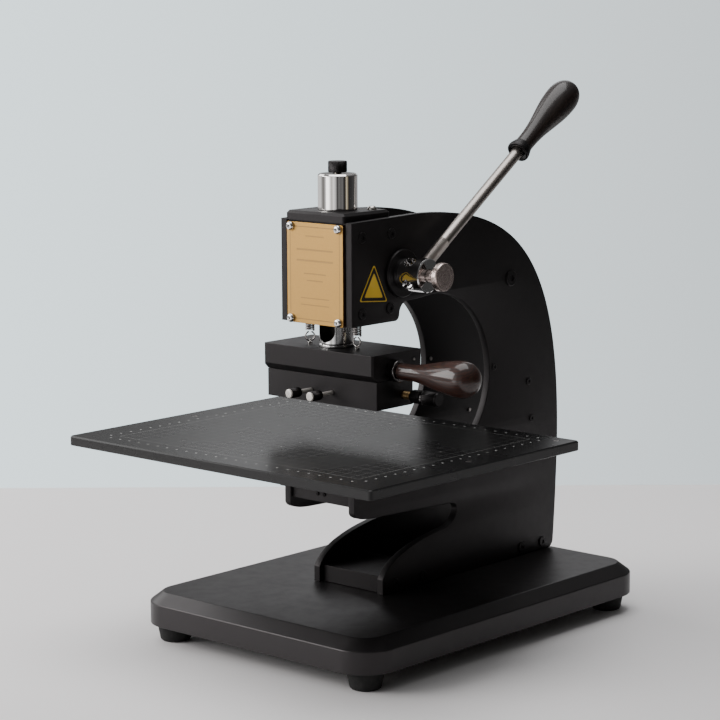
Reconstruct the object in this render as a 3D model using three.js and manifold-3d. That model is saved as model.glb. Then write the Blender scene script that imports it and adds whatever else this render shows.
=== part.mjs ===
// Tabletop leather embossing press with a printed work table.
// Millimetres, +Z up. The origin is on the floor, under the middle of the footprint:
// X = 0 is the machine's centre plane, the operator stands on the -Y side.
import * as THREE from "three";
import { mergeVertices } from "three/addons/utils/BufferGeometryUtils.js";
import Module from "manifold-3d";

const wasm = await Module();
wasm.setup();

// ---------------------------------------------------------------- driving dimensions
const GAP = 0.3; // clearance between pieces that touch
const FOOT = {
  height: 14, topRadius: 13.2, bottomRadius: 11.2, soleRadius: 9.6, x: 96, front: -126, rear: 159.4,
};
const BASE = {
  width: 234, front: -147, rear: 180.4, thickness: 24.4, corner: 27, chamfer: 10, chamferHeight: 7.6,
};
const BASE_TOP = FOOT.height + BASE.thickness;
const TABLE = { width: 300, depth: 230.4, thickness: 7.3, top: 157.5, front: -180.4, corner: 3 };
const TABLE_BOTTOM = TABLE.top - TABLE.thickness;
const PLATE = { thickness: 6, innerX: 29, headFront: -70.5 };
const PLATE_OUTER = PLATE.innerX + PLATE.thickness;
const INSIDE = PLATE.innerX - GAP; // half width of what stands between the side plates
const HEAD = { front: -69.1, rear: -23.9, bottom: 243, top: 317.9 };
const COVER = {
  halfWidth: 28.7, front: -71.9, rear: -21.4, top: 325, chamfer: 2.2, screwX: 20, screwY: -31.5,
};
const NAMEPLATE = { halfWidth: 27.7, front: -71.9, rear: -69.2, bottom: 242.6, top: 316.8 };
const THROAT = { y: 21.6, z: 193, radius: 66 };
const SHAFT = { y: -16.4, z: 278, radius: 7 };
const RAM = { y: -48.9, radius: 12.8, bottom: 227.3, shoulder: 316, neck: 7.6, top: 340.5 };
const POCKET = { halfWidth: 7.8, bottom: 228.3, top: 256, depth: 14 }; // milled into the ram's front
const FLANGE = { radius: 13.1, edge: 0.8 };
const RACK = { halfWidth: 5.5, bottom: 268.2, top: 316, back: -41.1 };
const TEETH = { module: 2, count: 18, addendum: 1.6, dedendum: 2, pinionHalfWidth: 7 };
const CYLINDER = { y: -46.7, radius: 14.6, bore: 11.4, top: 351.5, roof: 5.5 };
const KNOB = { radius: 7, bottom: 352.3, top: 360.6 };
const HUB = { radius: 12.6, start: 38.6, end: 61.7, crossHole: 4.7, leverX: 50 };
const LEVER = { tilt: 35, barRadius: 4.4, barStart: 6, barEnd: 205, ferrule: 144, grip: 152.4, tip: 227.6 };
const PLATEN = { halfWidth: 54.4, front: -70.4, rear: -17.1, bottom: 204.7, top: 224.2, chamfer: 4.5 };
const DIE = { halfWidth: 54.4, front: -65.9, rear: -25.9, bottom: 183.9, top: 204.4 };
const TONGUE = { neck: 15, foot: 18.5, bottom: 189.6, front: -60.1, rear: -26.2 };
const SIDE_HANDLE = { y: -49, z: 211.8, collar: 8.2, stud: 3.1, gripStart: 62.5, gripEnd: 134 };
const THUMB = { x: 10.4, z: 192.6, headRadius: 3.7, headFront: -90.2, stemFront: -78.7, stemRadius: 1.6 };
const LOCK = { y: -36.1, z: 192, stem: 2.9, stemStart: 19.3, nut: 5.3, knob: 5.4, knobEnd: 88 };
const SPRING = { x: 23.4, y: -52.4, radius: 3.6, bottom: 225.9, top: 290, clear: 0.6 };
const ANCHOR = { radius: 1.8, height: 1.1 };
const TABLE_SCREW = { x: 137, y: [-62.8, 38.6], headRadius: 2.4, shankRadius: 1.3 };
const BUTTON_SCREW = { x: 23.4, high: 313.6, low: 245.8, radius: 3.1 };

const rad = THREE.MathUtils.degToRad;
const V2 = (x, y) => new THREE.Vector2(x, y);

// ---------------------------------------------------------------- finishes
const finish = (color, roughness, metalness) => ({ color, roughness, metalness });
const BLACK = finish(0x17181a, 0.45, 0.35);
const RUBBER = finish(0x101011, 0.9, 0);
const CHROME = finish(0xd8dadd, 0.12, 1);
const STEEL = finish(0xb8b2ac, 0.3, 1);
const BRASS = finish(0xb99a62, 0.4, 0.9);
const GOLD = finish(0xd2b48a, 0.5, 0.6);
const DARK_WOOD = finish(0x2b1d19, 0.35, 0);
const RED_WOOD = finish(0x3d1c16, 0.2, 0);

// ---------------------------------------------------------------- building helpers
const machine = new THREE.Group();

function add(name, geometry, look, parent = machine) {
  const mesh = new THREE.Mesh(geometry, new THREE.MeshStandardMaterial(look));
  mesh.name = name;
  parent.add(mesh);
  return mesh;
}

function toSolid(geometry) {
  const plain = geometry.index ? geometry.toNonIndexed() : geometry.clone();
  plain.deleteAttribute("normal");
  plain.deleteAttribute("uv");
  const merged = mergeVertices(plain, 1e-3);
  return new wasm.Manifold(new wasm.Mesh({
    numProp: 3,
    vertProperties: merged.attributes.position.array,
    triVerts: new Uint32Array(merged.index.array),
  }));
}

function toGeometry(solid) {
  const mesh = solid.getMesh();
  const geometry = new THREE.BufferGeometry();
  geometry.setAttribute("position", new THREE.BufferAttribute(Float32Array.from(mesh.vertProperties), 3));
  geometry.setIndex(new THREE.BufferAttribute(Uint32Array.from(mesh.triVerts), 1));
  return geometry;
}

const cut = (body, ...tools) => toGeometry(tools.reduce((s, t) => s.subtract(toSolid(t)), toSolid(body)));
const join = (...bodies) => toGeometry(bodies.map(toSolid).reduce((a, b) => a.add(b)));

// A box from its lowest to its highest corner.
function block([x0, y0, z0], [x1, y1, z1]) {
  return new THREE.BoxGeometry(x1 - x0, y1 - y0, z1 - z0)
    .translate((x0 + x1) / 2, (y0 + y1) / 2, (z0 + z1) / 2);
}

// A turned piece on the Z axis: the profile is [radius, height] pairs, from the foot up.
const turned = (profile, sides = 28) => new THREE.LatheGeometry(profile.map(([r, z]) => V2(r, z)), sides)
  .rotateX(Math.PI / 2);

// A turned ring: the profile closes on itself.
const ring = (inner, outer, low, high, sides = 28) =>
  turned([[inner, low], [outer, low], [outer, high], [inner, high], [inner, low]], sides);

const rod = (radius, low, high, sides = 28) =>
  turned([[0, low], [radius, low], [radius, high], [0, high]], sides);

// Lays a piece made along +Z along +X or along +Y, through the point given by the other two axes.
const alongX = (geometry, y, z) => geometry.rotateY(Math.PI / 2).translate(0, y, z);
const alongY = (geometry, x, z) => geometry.rotateX(-Math.PI / 2).translate(x, 0, z);

// A shape drawn with (y, z) coordinates, as a slab from x0 to x1.
function slab(shape, x0, x1, curveSegments = 12) {
  const geometry = new THREE.ExtrudeGeometry(shape, { depth: x1 - x0, bevelEnabled: false, curveSegments });
  const basis = new THREE.Matrix4().makeBasis(
    new THREE.Vector3(0, 1, 0), new THREE.Vector3(0, 0, 1), new THREE.Vector3(1, 0, 0));
  return geometry.applyMatrix4(basis).translate(x0, 0, 0);
}

function roundedRectangle(x0, y0, x1, y1, r) {
  const s = new THREE.Shape();
  s.moveTo(x0 + r, y0);
  s.lineTo(x1 - r, y0);
  s.absarc(x1 - r, y0 + r, r, -Math.PI / 2, 0);
  s.lineTo(x1, y1 - r);
  s.absarc(x1 - r, y1 - r, r, 0, Math.PI / 2);
  s.lineTo(x0 + r, y1);
  s.absarc(x0 + r, y1 - r, r, Math.PI / 2, Math.PI);
  s.lineTo(x0, y0 + r);
  s.absarc(x0 + r, y0 + r, r, Math.PI, Math.PI * 1.5);
  return s;
}

// A plate with its top edge bevelled all round.
function bevelledPlate(outline, low, high, bevel, curveSegments = 8, bevelHeight = bevel) {
  const height = high - low;
  const both = new THREE.ExtrudeGeometry(outline, {
    depth: height, bevelEnabled: true, bevelSegments: 1, curveSegments,
    bevelThickness: bevelHeight, bevelSize: bevel, bevelOffset: -bevel,
  }).translate(0, 0, low - bevelHeight);
  const wide = 1000;
  return cut(both, block([-wide, -wide, low - 2 * bevelHeight - 1], [wide, wide, low]));
}

// ---------------------------------------------------------------- base and feet
add("base_plate", bevelledPlate(
  roundedRectangle(-BASE.width / 2, BASE.front, BASE.width / 2, BASE.rear, BASE.corner),
  FOOT.height, BASE_TOP, BASE.chamfer, 8, BASE.chamferHeight), BLACK);

for (const [side, x] of [["left", -FOOT.x], ["right", FOOT.x]]) {
  for (const [end, y] of [["front", FOOT.front], ["rear", FOOT.rear]]) {
    const profile = [[0, 0], [FOOT.soleRadius, 0], [FOOT.bottomRadius, 1.6],
      [FOOT.topRadius, FOOT.height - GAP], [0, FOOT.height - GAP]];
    add(`foot_${end}_${side}`, turned(profile, 24).translate(x, y, 0), RUBBER);
  }
}

// ---------------------------------------------------------------- side plates
function sidePlateOutline() {
  const bottom = BASE_TOP + GAP;
  const armTop = TABLE_BOTTOM - GAP;
  const s = new THREE.Shape();
  s.moveTo(-37.7, bottom);
  s.lineTo(164.6, bottom);
  s.quadraticCurveTo(169.6, bottom, 170.2, 44.5); // small rear corner
  s.quadraticCurveTo(174.6, 90, 175, 135); // the back bows out a little
  s.bezierCurveTo(175, 280.5, 115.9, 320.5, -0.4, 320.5); // rounded back of the head
  s.lineTo(PLATE.headFront, 318.6);
  s.lineTo(PLATE.headFront, HEAD.bottom);
  s.lineTo(-22.4, HEAD.bottom);
  s.quadraticCurveTo(-18.4, HEAD.bottom, -18.2, 247.5);
  s.quadraticCurveTo(-17.6, 256.6, -7.5, 256.8);
  const start = Math.acos(-13.6 / THROAT.radius);
  const end = Math.asin((armTop - THROAT.z) / THROAT.radius);
  s.absarc(THROAT.y, THROAT.z, THROAT.radius, start, end, true); // the round throat
  s.lineTo(HEAD.front, armTop);
  s.lineTo(HEAD.front, 106.5);
  s.quadraticCurveTo(-69, 99.6, -45, 98.9); // rounded front end of the arm
  s.lineTo(36.5, 95.9);
  s.quadraticCurveTo(48.6, 95.2, 48.2, 90); // round tip of the slot under the arm
  s.quadraticCurveTo(46.6, 80.4, 34, 77.6);
  s.quadraticCurveTo(-28.6, 69.8, -37.7, 50); // sweep down to the foot
  const shaftHole = new THREE.Path();
  shaftHole.absarc(SHAFT.y, SHAFT.z, 10.3, 0, Math.PI * 2);
  s.holes.push(shaftHole);
  return s;
}

add("side_plate_left", slab(sidePlateOutline(), -PLATE_OUTER, -PLATE.innerX, 10), BLACK);
add("side_plate_right", slab(sidePlateOutline(), PLATE.innerX, PLATE_OUTER, 10), BLACK);

// Blocks and rods that hold the two plates apart.
const crossBlock = (name, y0, y1, z0, z1) => add(name, block([-INSIDE, y0, z0], [INSIDE, y1, z1]), BLACK);
crossBlock("foot_block_front", -34, 20, BASE_TOP + GAP, 51.3);
crossBlock("foot_block_rear", 120, 165, BASE_TOP + GAP, 51.3);
crossBlock("table_cross_plate", -67, -59, 109.6, TABLE_BOTTOM - GAP);
crossBlock("table_rear_plate", 32, 40, 118, TABLE_BOTTOM - GAP);
add("tie_rod_upper", alongX(rod(8, -INSIDE, INSIDE), 113.5, 262), BLACK);
add("tie_rod_lower", alongX(rod(8, -INSIDE, INSIDE), 155, 104.8), BLACK);

// ---------------------------------------------------------------- work table
const tableOutline = roundedRectangle(-TABLE.width / 2, TABLE.front,
  TABLE.width / 2, TABLE.front + TABLE.depth, TABLE.corner);
const tableSlab = new THREE.ExtrudeGeometry(tableOutline, {
  depth: TABLE.thickness, bevelEnabled: false, curveSegments: 3,
}).translate(0, 0, TABLE_BOTTOM);

const tableScrews = [];
for (const [side, x] of [["left", -TABLE_SCREW.x], ["right", TABLE_SCREW.x]]) {
  TABLE_SCREW.y.forEach((y, i) => {
    tableScrews.push({ name: `table_screw_${i ? "rear" : "front"}_${side}`, x, y });
  });
}
const countersunk = (clear) => turned([[0, TABLE_BOTTOM + (clear ? -1 : 0.2)],
  [TABLE_SCREW.shankRadius + clear, TABLE_BOTTOM + (clear ? -1 : 0.2)],
  [TABLE_SCREW.shankRadius + clear, TABLE.top - 2.2],
  [TABLE_SCREW.headRadius + clear, TABLE.top - 0.3],
  [TABLE_SCREW.headRadius + clear, TABLE.top + (clear ? 1 : -0.1)],
  [0, TABLE.top + (clear ? 1 : -0.1)]], 16);
add("work_table", cut(tableSlab, ...tableScrews.map((p) => countersunk(GAP).translate(p.x, p.y, 0))), BLACK);
for (const p of tableScrews) add(p.name, countersunk(0).translate(p.x, p.y, 0), STEEL);

// Brackets on the outside of the arms, under the table.
for (const [side, sign] of [["left", -1], ["right", 1]]) {
  const xs = [sign * (PLATE_OUTER + GAP), sign * 47.5].sort((a, b) => a - b);
  add(`table_bracket_${side}`,
    block([xs[0], -68.9, 117], [xs[1], -48.9, TABLE_BOTTOM - GAP]), BLACK);
}

// ---------------------------------------------------------------- head
add("head_block", cut(
  block([-INSIDE, HEAD.front + 0.2, HEAD.bottom], [INSIDE, HEAD.rear, HEAD.top]),
  rod(RAM.radius + 0.4, HEAD.bottom - 1, HEAD.top + 1).translate(0, RAM.y, 0),
  block([-8.5, -45, HEAD.bottom - 1], [8.5, HEAD.rear + 1, HEAD.top + 1]),
  ...[-SPRING.x, SPRING.x].map((x) =>
    rod(SPRING.radius + SPRING.clear, HEAD.bottom - 1, SPRING.top + GAP, 20).translate(x, SPRING.y, 0)),
), BLACK);

const coverPlate = bevelledPlate(
  roundedRectangle(-COVER.halfWidth, COVER.front, COVER.halfWidth, COVER.rear, 2.5),
  HEAD.top + GAP, COVER.top, COVER.chamfer, 2);
const coverScrewHoles = [-COVER.screwX, COVER.screwX].map((x) =>
  rod(2, HEAD.top, COVER.top + 1, 16).translate(x, COVER.screwY, 0));
add("top_cover", cut(coverPlate,
  rod(RAM.neck + 0.6, HEAD.top, COVER.top + 1).translate(0, RAM.y, 0), ...coverScrewHoles), BLACK);
for (const [side, x] of [["left", -COVER.screwX], ["right", COVER.screwX]]) {
  const profile = [[0, 319], [1.7, 319], [1.7, 325.3], [3.6, 325.3], [3.6, 326.3], [2.4, 327.6], [0, 327.6]];
  add(`cover_screw_${side}`, turned(profile, 20).translate(x, COVER.screwY, 0), STEEL);
}

const nameplateScrews = [];
for (const [side, x] of [["left", -BUTTON_SCREW.x], ["right", BUTTON_SCREW.x]]) {
  for (const [end, z] of [["top", BUTTON_SCREW.high], ["bottom", BUTTON_SCREW.low]]) {
    nameplateScrews.push({ name: `nameplate_screw_${end}_${side}`, x, z });
  }
}
add("nameplate", cut(
  block([-NAMEPLATE.halfWidth, NAMEPLATE.front, NAMEPLATE.bottom],
    [NAMEPLATE.halfWidth, NAMEPLATE.rear, NAMEPLATE.top]),
  ...nameplateScrews.map((p) => alongY(rod(2.3, -80, -60, 16), p.x, p.z))), GOLD);
for (const p of nameplateScrews) {
  // The screw's axis points to the front: its head is the end with the lowest y.
  const profile = [[0, 69.3], [2, 69.3], [2, 72.2], [BUTTON_SCREW.radius, 72.2],
    [BUTTON_SCREW.radius, 73.2], [2.6, 74.8], [0, 74.8]];
  const screw = turned(profile, 20).rotateX(Math.PI / 2).translate(p.x, 0, p.z);
  add(p.name, screw, CHROME);
}

// Chrome cylinder over the ram's neck, and the stroke adjuster in its roof.
const roofBottom = CYLINDER.top - CYLINDER.roof;
const cylinderBottom = COVER.top + GAP;
add("guide_cylinder", turned([[CYLINDER.bore, cylinderBottom], [CYLINDER.radius, cylinderBottom],
  [CYLINDER.radius, CYLINDER.top - 1.2], [CYLINDER.radius - 1.2, CYLINDER.top], [3.4, CYLINDER.top],
  [3.4, roofBottom], [CYLINDER.bore, roofBottom], [CYLINDER.bore, cylinderBottom]], 28)
  .translate(0, CYLINDER.y, 0), CHROME);
add("adjusting_screw", rod(3, RAM.top + 0.5, KNOB.top - 1.6, 20).translate(0, CYLINDER.y, 0), STEEL);
add("adjusting_knob", turned([[3.3, KNOB.bottom], [KNOB.radius - 0.6, KNOB.bottom],
  [KNOB.radius, KNOB.bottom + 0.8], [KNOB.radius, KNOB.top - 0.5], [KNOB.radius - 0.6, KNOB.top],
  [0, KNOB.top], [0, KNOB.top - 1.2], [3.3, KNOB.top - 1.2], [3.3, KNOB.bottom]])
  .translate(0, CYLINDER.y, 0), BLACK);

// ---------------------------------------------------------------- lever shaft and pinion
const toShaft = (geometry) => alongX(geometry, SHAFT.y, SHAFT.z);
const shaftBore = SHAFT.radius + GAP;
const bearing = (sign) => {
  const profile = [[shaftBore, PLATE.innerX], [10, PLATE.innerX], [10, PLATE_OUTER + GAP],
    [18, PLATE_OUTER + GAP], [17.2, 38.2], [shaftBore, 38.2], [shaftBore, PLATE.innerX]];
  const geometry = turned(profile, 28);
  return toShaft(sign < 0 ? geometry.rotateX(Math.PI) : geometry);
};
add("bearing_left", bearing(-1), BLACK);
add("bearing_right", bearing(1), BLACK);

const shaftGroup = new THREE.Group();
machine.add(shaftGroup);
add("lever_shaft", toShaft(rod(SHAFT.radius, -46.5, 44.2)), STEEL, shaftGroup);
add("shaft_collar", toShaft(ring(shaftBore, 11, -46.5, -38.6)), STEEL, shaftGroup);

// Pinion and rack share one straight-sided tooth, thin enough to run with backlash.
const PITCH = Math.PI * TEETH.module;
const PITCH_RADIUS = (TEETH.module * TEETH.count) / 2;
const toothHalfWidth = (height) => PITCH * 0.205 - height * Math.tan(rad(20));

// A tooth's outline, from one root over its tip to the other root: [side, height above the pitch line].
const TOOTH = [[-1, -TEETH.dedendum], [-1, TEETH.addendum], [1, TEETH.addendum], [1, -TEETH.dedendum]];

function pinionShape() {
  const points = [];
  for (let i = 0; i < TEETH.count; i++) {
    const middle = Math.PI + (i * 2 * Math.PI) / TEETH.count; // the first tooth points at the rack
    for (const [side, height] of TOOTH) {
      const r = PITCH_RADIUS + height;
      const angle = middle + (side * toothHalfWidth(height)) / r;
      points.push(V2(r * Math.cos(angle), r * Math.sin(angle)));
    }
  }
  const s = new THREE.Shape(points);
  const bore = new THREE.Path();
  bore.absarc(0, 0, shaftBore, 0, Math.PI * 2);
  s.holes.push(bore);
  return s;
}
add("pinion", slab(pinionShape(), -TEETH.pinionHalfWidth, TEETH.pinionHalfWidth)
  .translate(0, SHAFT.y, SHAFT.z), STEEL, shaftGroup);

function rackShape() {
  const pitchLine = SHAFT.y - PITCH_RADIUS;
  const s = new THREE.Shape();
  s.moveTo(RACK.back, RACK.bottom);
  s.lineTo(pitchLine - TEETH.dedendum, RACK.bottom);
  const first = Math.ceil((RACK.bottom + 2 - SHAFT.z) / PITCH - 0.5);
  const last = Math.floor((RACK.top - 2 - SHAFT.z) / PITCH - 0.5);
  for (let n = first; n <= last; n++) {
    const z = SHAFT.z + (n + 0.5) * PITCH; // a gap of the rack faces the pinion's first tooth
    for (const [side, height] of TOOTH) {
      s.lineTo(pitchLine + height, z + side * toothHalfWidth(height));
    }
  }
  s.lineTo(pitchLine - TEETH.dedendum, RACK.top);
  s.lineTo(RACK.back, RACK.top);
  return s;
}

// ---------------------------------------------------------------- lever
const crossDrill = (turn) => rod(HUB.crossHole, -20, 20, 16)
  .rotateX(rad(LEVER.tilt + turn) - Math.PI / 2).translate(HUB.leverX, SHAFT.y, SHAFT.z);
const hubBody = toShaft(turned([[0, HUB.start], [HUB.radius, HUB.start], [HUB.radius, HUB.end - 0.8],
  [HUB.radius - 0.8, HUB.end], [0, HUB.end]], 24));
add("lever_hub", cut(hubBody, crossDrill(0), crossDrill(90),
  toShaft(rod(shaftBore, HUB.start - 1, 44.6)), toShaft(rod(4.9, 55.2, HUB.end + 1, 20))),
CHROME, shaftGroup);

// The lever's own pieces are turned on +Z from the shaft's axis, then tilted back.
const leverGroup = new THREE.Group();
leverGroup.position.set(HUB.leverX, SHAFT.y, SHAFT.z);
leverGroup.rotation.x = -rad(90 - LEVER.tilt);
shaftGroup.add(leverGroup);
add("lever_bar", rod(LEVER.barRadius, LEVER.barStart, LEVER.barEnd, 24), STEEL, leverGroup);
const barBore = LEVER.barRadius + GAP;
add("lever_ferrule", turned([[barBore, LEVER.ferrule + 1.5], [8.2, LEVER.ferrule], [8.9, LEVER.ferrule + 0.6],
  [8.9, LEVER.ferrule + 3], [7.4, LEVER.grip - GAP], [barBore, LEVER.grip - GAP],
  [barBore, LEVER.ferrule + 1.5]], 28), BLACK, leverGroup);

// Pear-shaped grip: a slim neck that swells to a round end, roundness times the belly long.
function pear(start, end, neck, belly, bore, boreEnd, sides, roundness = 1.15) {
  const length = end - start;
  const outline = [];
  const steps = 11;
  for (let i = 0; i <= steps; i++) {
    const t = i / steps;
    const swell = neck + (belly - neck) * THREE.MathUtils.smoothstep(t, 0.02, 0.86);
    const fromEnd = (1 - t) * length;
    const intoCap = 1 - Math.min(1, fromEnd / (belly * roundness));
    const cap = Math.sqrt(1 - intoCap ** 2);
    outline.push([i === steps ? 0 : swell * cap, start + t * length]);
  }
  return turned([[bore, start], ...outline, [0, boreEnd], [bore, boreEnd], [bore, start]], sides);
}
add("lever_grip", pear(LEVER.grip, LEVER.tip, 6.9, 12.7, barBore, LEVER.barEnd + GAP, 24),
  DARK_WOOD, leverGroup);

add("hub_clamp_screw", toShaft(turned([[0, 55.6], [4.5, 55.6], [4.5, 71.6], [9.9, 71.6], [10.5, 72.2],
  [10.5, 76.4], [9.9, 77], [0, 77]], 32)), STEEL);

// ---------------------------------------------------------------- ram
const ramBar = turned([[0, RAM.bottom], [RAM.radius, RAM.bottom], [RAM.radius, RAM.shoulder],
  [RAM.neck, RAM.shoulder], [RAM.neck, RAM.top], [0, RAM.top]], 36).translate(0, RAM.y, 0);
const ramFront = RAM.y - RAM.radius - 1;
const pocketFloor = RAM.y - RAM.radius + POCKET.depth;
const pocketCentre = POCKET.bottom + POCKET.halfWidth;
const ramSide = RAM.radius + 1;
add("ram_bar", cut(ramBar,
  block([-ramSide, RACK.back - GAP, RAM.bottom - 1], [ramSide, RAM.y + ramSide, RAM.top + 1]),
  alongY(rod(POCKET.halfWidth, ramFront, pocketFloor, 24), 0, pocketCentre),
  block([-POCKET.halfWidth, ramFront, pocketCentre], [POCKET.halfWidth, pocketFloor, POCKET.top]),
), CHROME);
add("ram_rack", slab(rackShape(), -RACK.halfWidth, RACK.halfWidth), STEEL);
const flangeTop = RAM.bottom - GAP;
add("ram_flange", turned([[0, PLATEN.top + GAP], [FLANGE.radius, PLATEN.top + GAP],
  [FLANGE.radius, flangeTop - FLANGE.edge], [FLANGE.radius - FLANGE.edge, flangeTop], [0, flangeTop]], 36)
  .translate(0, RAM.y, 0), CHROME);

const onPlaten = PLATEN.top + GAP;
for (const [side, x] of [["left", -SPRING.x], ["right", SPRING.x]]) {
  const spring = rod(SPRING.radius, SPRING.bottom, SPRING.top, 16);
  const anchor = rod(ANCHOR.radius, onPlaten, onPlaten + ANCHOR.height, 16);
  add(`return_spring_${side}`, spring.translate(x, SPRING.y, 0), STEEL);
  add(`spring_anchor_${side}`, anchor.translate(x, SPRING.y, 0), STEEL);
}

// ---------------------------------------------------------------- platen and die holder
const platenProfile = new THREE.Shape([
  V2(PLATEN.front + PLATEN.chamfer, PLATEN.bottom), V2(PLATEN.rear, PLATEN.bottom),
  V2(PLATEN.rear, PLATEN.top), V2(PLATEN.front, PLATEN.top), V2(PLATEN.front, PLATEN.bottom + PLATEN.chamfer),
]);

// Dovetail that runs front to back; clear widens it into the holder's slot.
function dovetail(clear, y0, y1, z0, z1) {
  const slope = (TONGUE.foot - TONGUE.neck) / (PLATEN.bottom - TONGUE.bottom);
  const halfWidth = (z) => TONGUE.neck + clear + (PLATEN.bottom - z) * slope;
  const s = new THREE.Shape([V2(-halfWidth(z0), z0), V2(halfWidth(z0), z0),
    V2(halfWidth(z1), z1), V2(-halfWidth(z1), z1)]);
  const geometry = new THREE.ExtrudeGeometry(s, { depth: y1 - y0, bevelEnabled: false });
  return geometry.rotateX(Math.PI / 2).translate(0, y1, 0);
}
add("platen", join(
  slab(platenProfile, -PLATEN.halfWidth, PLATEN.halfWidth),
  dovetail(0, TONGUE.front, TONGUE.rear, TONGUE.bottom, PLATEN.bottom + 1)), BLACK);

const lockBore = alongX(rod(LOCK.stem + GAP, 17, 60, 20), LOCK.y, LOCK.z);
const thumbBores = [-THUMB.x, THUMB.x].map((x) =>
  alongY(rod(THUMB.stemRadius + GAP, DIE.front - 1, TONGUE.front + 1, 16), x, THUMB.z));
add("die_holder", cut(
  block([-DIE.halfWidth, DIE.front, DIE.bottom], [DIE.halfWidth, DIE.rear, DIE.top]),
  dovetail(0.35, TONGUE.front - GAP, DIE.rear + 2, TONGUE.bottom - GAP, DIE.top + 1),
  lockBore, ...thumbBores), BLACK);

for (const [side, x] of [["left", -THUMB.x], ["right", THUMB.x]]) {
  const profile = [[0, THUMB.headFront], [THUMB.headRadius - 0.5, THUMB.headFront],
    [THUMB.headRadius, THUMB.headFront + 0.5], [THUMB.headRadius, THUMB.stemFront],
    [THUMB.stemRadius, THUMB.stemFront], [THUMB.stemRadius, TONGUE.front - 0.3], [0, TONGUE.front - 0.3]];
  add(`thumb_screw_${side}`, alongY(turned(profile, 24), x, THUMB.z), STEEL);
}

// Side lock screw: brass stem, dark nut and knurled knob.
const toLock = (geometry) => alongX(geometry, LOCK.y, LOCK.z);
add("die_lock_screw", toLock(rod(LOCK.stem, LOCK.stemStart, 80, 20)), BRASS);
add("die_lock_nut", toLock(cut(rod(LOCK.nut, 62.8, 71.9, 6), rod(LOCK.stem + GAP, 60, 74, 20))), BLACK);
add("die_lock_knob", toLock(turned([[LOCK.stem + GAP, 72.3], [LOCK.knob, 72.3], [LOCK.knob, LOCK.knobEnd - 1],
  [LOCK.knob - 1, LOCK.knobEnd], [0, LOCK.knobEnd], [0, 80.4], [LOCK.stem + GAP, 80.4],
  [LOCK.stem + GAP, 72.3]], 24)), BLACK);

// ---------------------------------------------------------------- side handle of the platen
const toHandle = (geometry) => alongX(geometry, SIDE_HANDLE.y, SIDE_HANDLE.z);
const handleBore = SIDE_HANDLE.stud + GAP;
const collarStart = PLATEN.halfWidth + GAP;
const collarEnd = SIDE_HANDLE.gripStart - GAP;
add("side_handle_collar", toHandle(turned([[handleBore, collarStart], [SIDE_HANDLE.collar, collarStart],
  [SIDE_HANDLE.collar, collarEnd - 0.6], [SIDE_HANDLE.collar - 0.6, collarEnd], [handleBore, collarEnd],
  [handleBore, collarStart]], 28)), CHROME);
add("side_handle_stud", toHandle(rod(SIDE_HANDLE.stud, collarStart, 98, 20)), STEEL);
add("side_handle_grip", toHandle(pear(SIDE_HANDLE.gripStart, SIDE_HANDLE.gripEnd, 6, 13.4,
  handleBore, 98.4, 24, 1)), RED_WOOD);

export default machine;
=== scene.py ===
import math

import bmesh
import bpy
from mathutils import Matrix, Vector
from mathutils.geometry import interpolate_bezier


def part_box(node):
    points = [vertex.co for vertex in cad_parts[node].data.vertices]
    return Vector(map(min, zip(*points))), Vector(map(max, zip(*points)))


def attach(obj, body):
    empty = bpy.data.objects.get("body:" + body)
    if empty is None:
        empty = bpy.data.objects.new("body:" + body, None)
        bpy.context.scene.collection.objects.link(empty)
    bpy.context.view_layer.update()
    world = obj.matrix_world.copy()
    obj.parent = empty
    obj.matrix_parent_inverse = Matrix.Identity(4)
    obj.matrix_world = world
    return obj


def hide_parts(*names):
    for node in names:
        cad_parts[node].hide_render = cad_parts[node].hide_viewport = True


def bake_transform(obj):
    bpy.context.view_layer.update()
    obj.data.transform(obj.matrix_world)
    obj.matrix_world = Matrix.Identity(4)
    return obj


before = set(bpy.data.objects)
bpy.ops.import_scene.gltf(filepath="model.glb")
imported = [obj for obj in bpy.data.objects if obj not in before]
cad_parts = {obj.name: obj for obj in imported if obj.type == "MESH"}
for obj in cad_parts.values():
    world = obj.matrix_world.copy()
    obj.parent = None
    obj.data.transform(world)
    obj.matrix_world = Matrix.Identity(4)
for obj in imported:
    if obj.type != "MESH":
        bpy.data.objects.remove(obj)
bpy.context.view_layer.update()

# Every length below is in millimetres, in the frame's own axes. MM turns it into Blender's metres.
MM = 0.001


def span(node):
    """Lowest and highest corner of a CAD node, in millimetres."""
    low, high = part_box(node)
    return low / MM, high / MM


def middle(node):
    low, high = span(node)
    return (low + high) / 2


# ---------------------------------------------------------------- places taken from the frame
BASE_LOW, BASE_HIGH = span("base_plate")
TABLE_LOW, TABLE_HIGH = span("work_table")
PLATE_LOW, PLATE_HIGH = span("side_plate_right")
HEAD_LOW, HEAD_HIGH = span("head_block")
COVER_LOW, COVER_HIGH = span("top_cover")
LABEL_LOW, LABEL_HIGH = span("nameplate")
CYLINDER_LOW, CYLINDER_HIGH = span("guide_cylinder")
KNOB_LOW, KNOB_HIGH = span("adjusting_knob")
HUB_LOW, HUB_HIGH = span("lever_hub")
PLATEN_LOW, PLATEN_HIGH = span("platen")
HOLDER_LOW, HOLDER_HIGH = span("die_holder")
FLANGE_LOW, FLANGE_HIGH = span("ram_flange")
BAR_LOW, BAR_HIGH = span("ram_bar")
RAM = middle("ram_flange")
CYLINDER = middle("guide_cylinder")
SHAFT = middle("lever_shaft")
HANDLE = middle("side_handle_stud")
LOCK = middle("die_lock_screw")
LEVER_X = middle("lever_bar").x
LEVER_TILT = math.radians(35)
LEVER_LENGTH = 227.6
DOVETAIL = {"neck": 15.0, "foot": 18.5, "top": 204.7, "bottom": PLATEN_LOW.z}

# ---------------------------------------------------------------- shader maths


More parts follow.
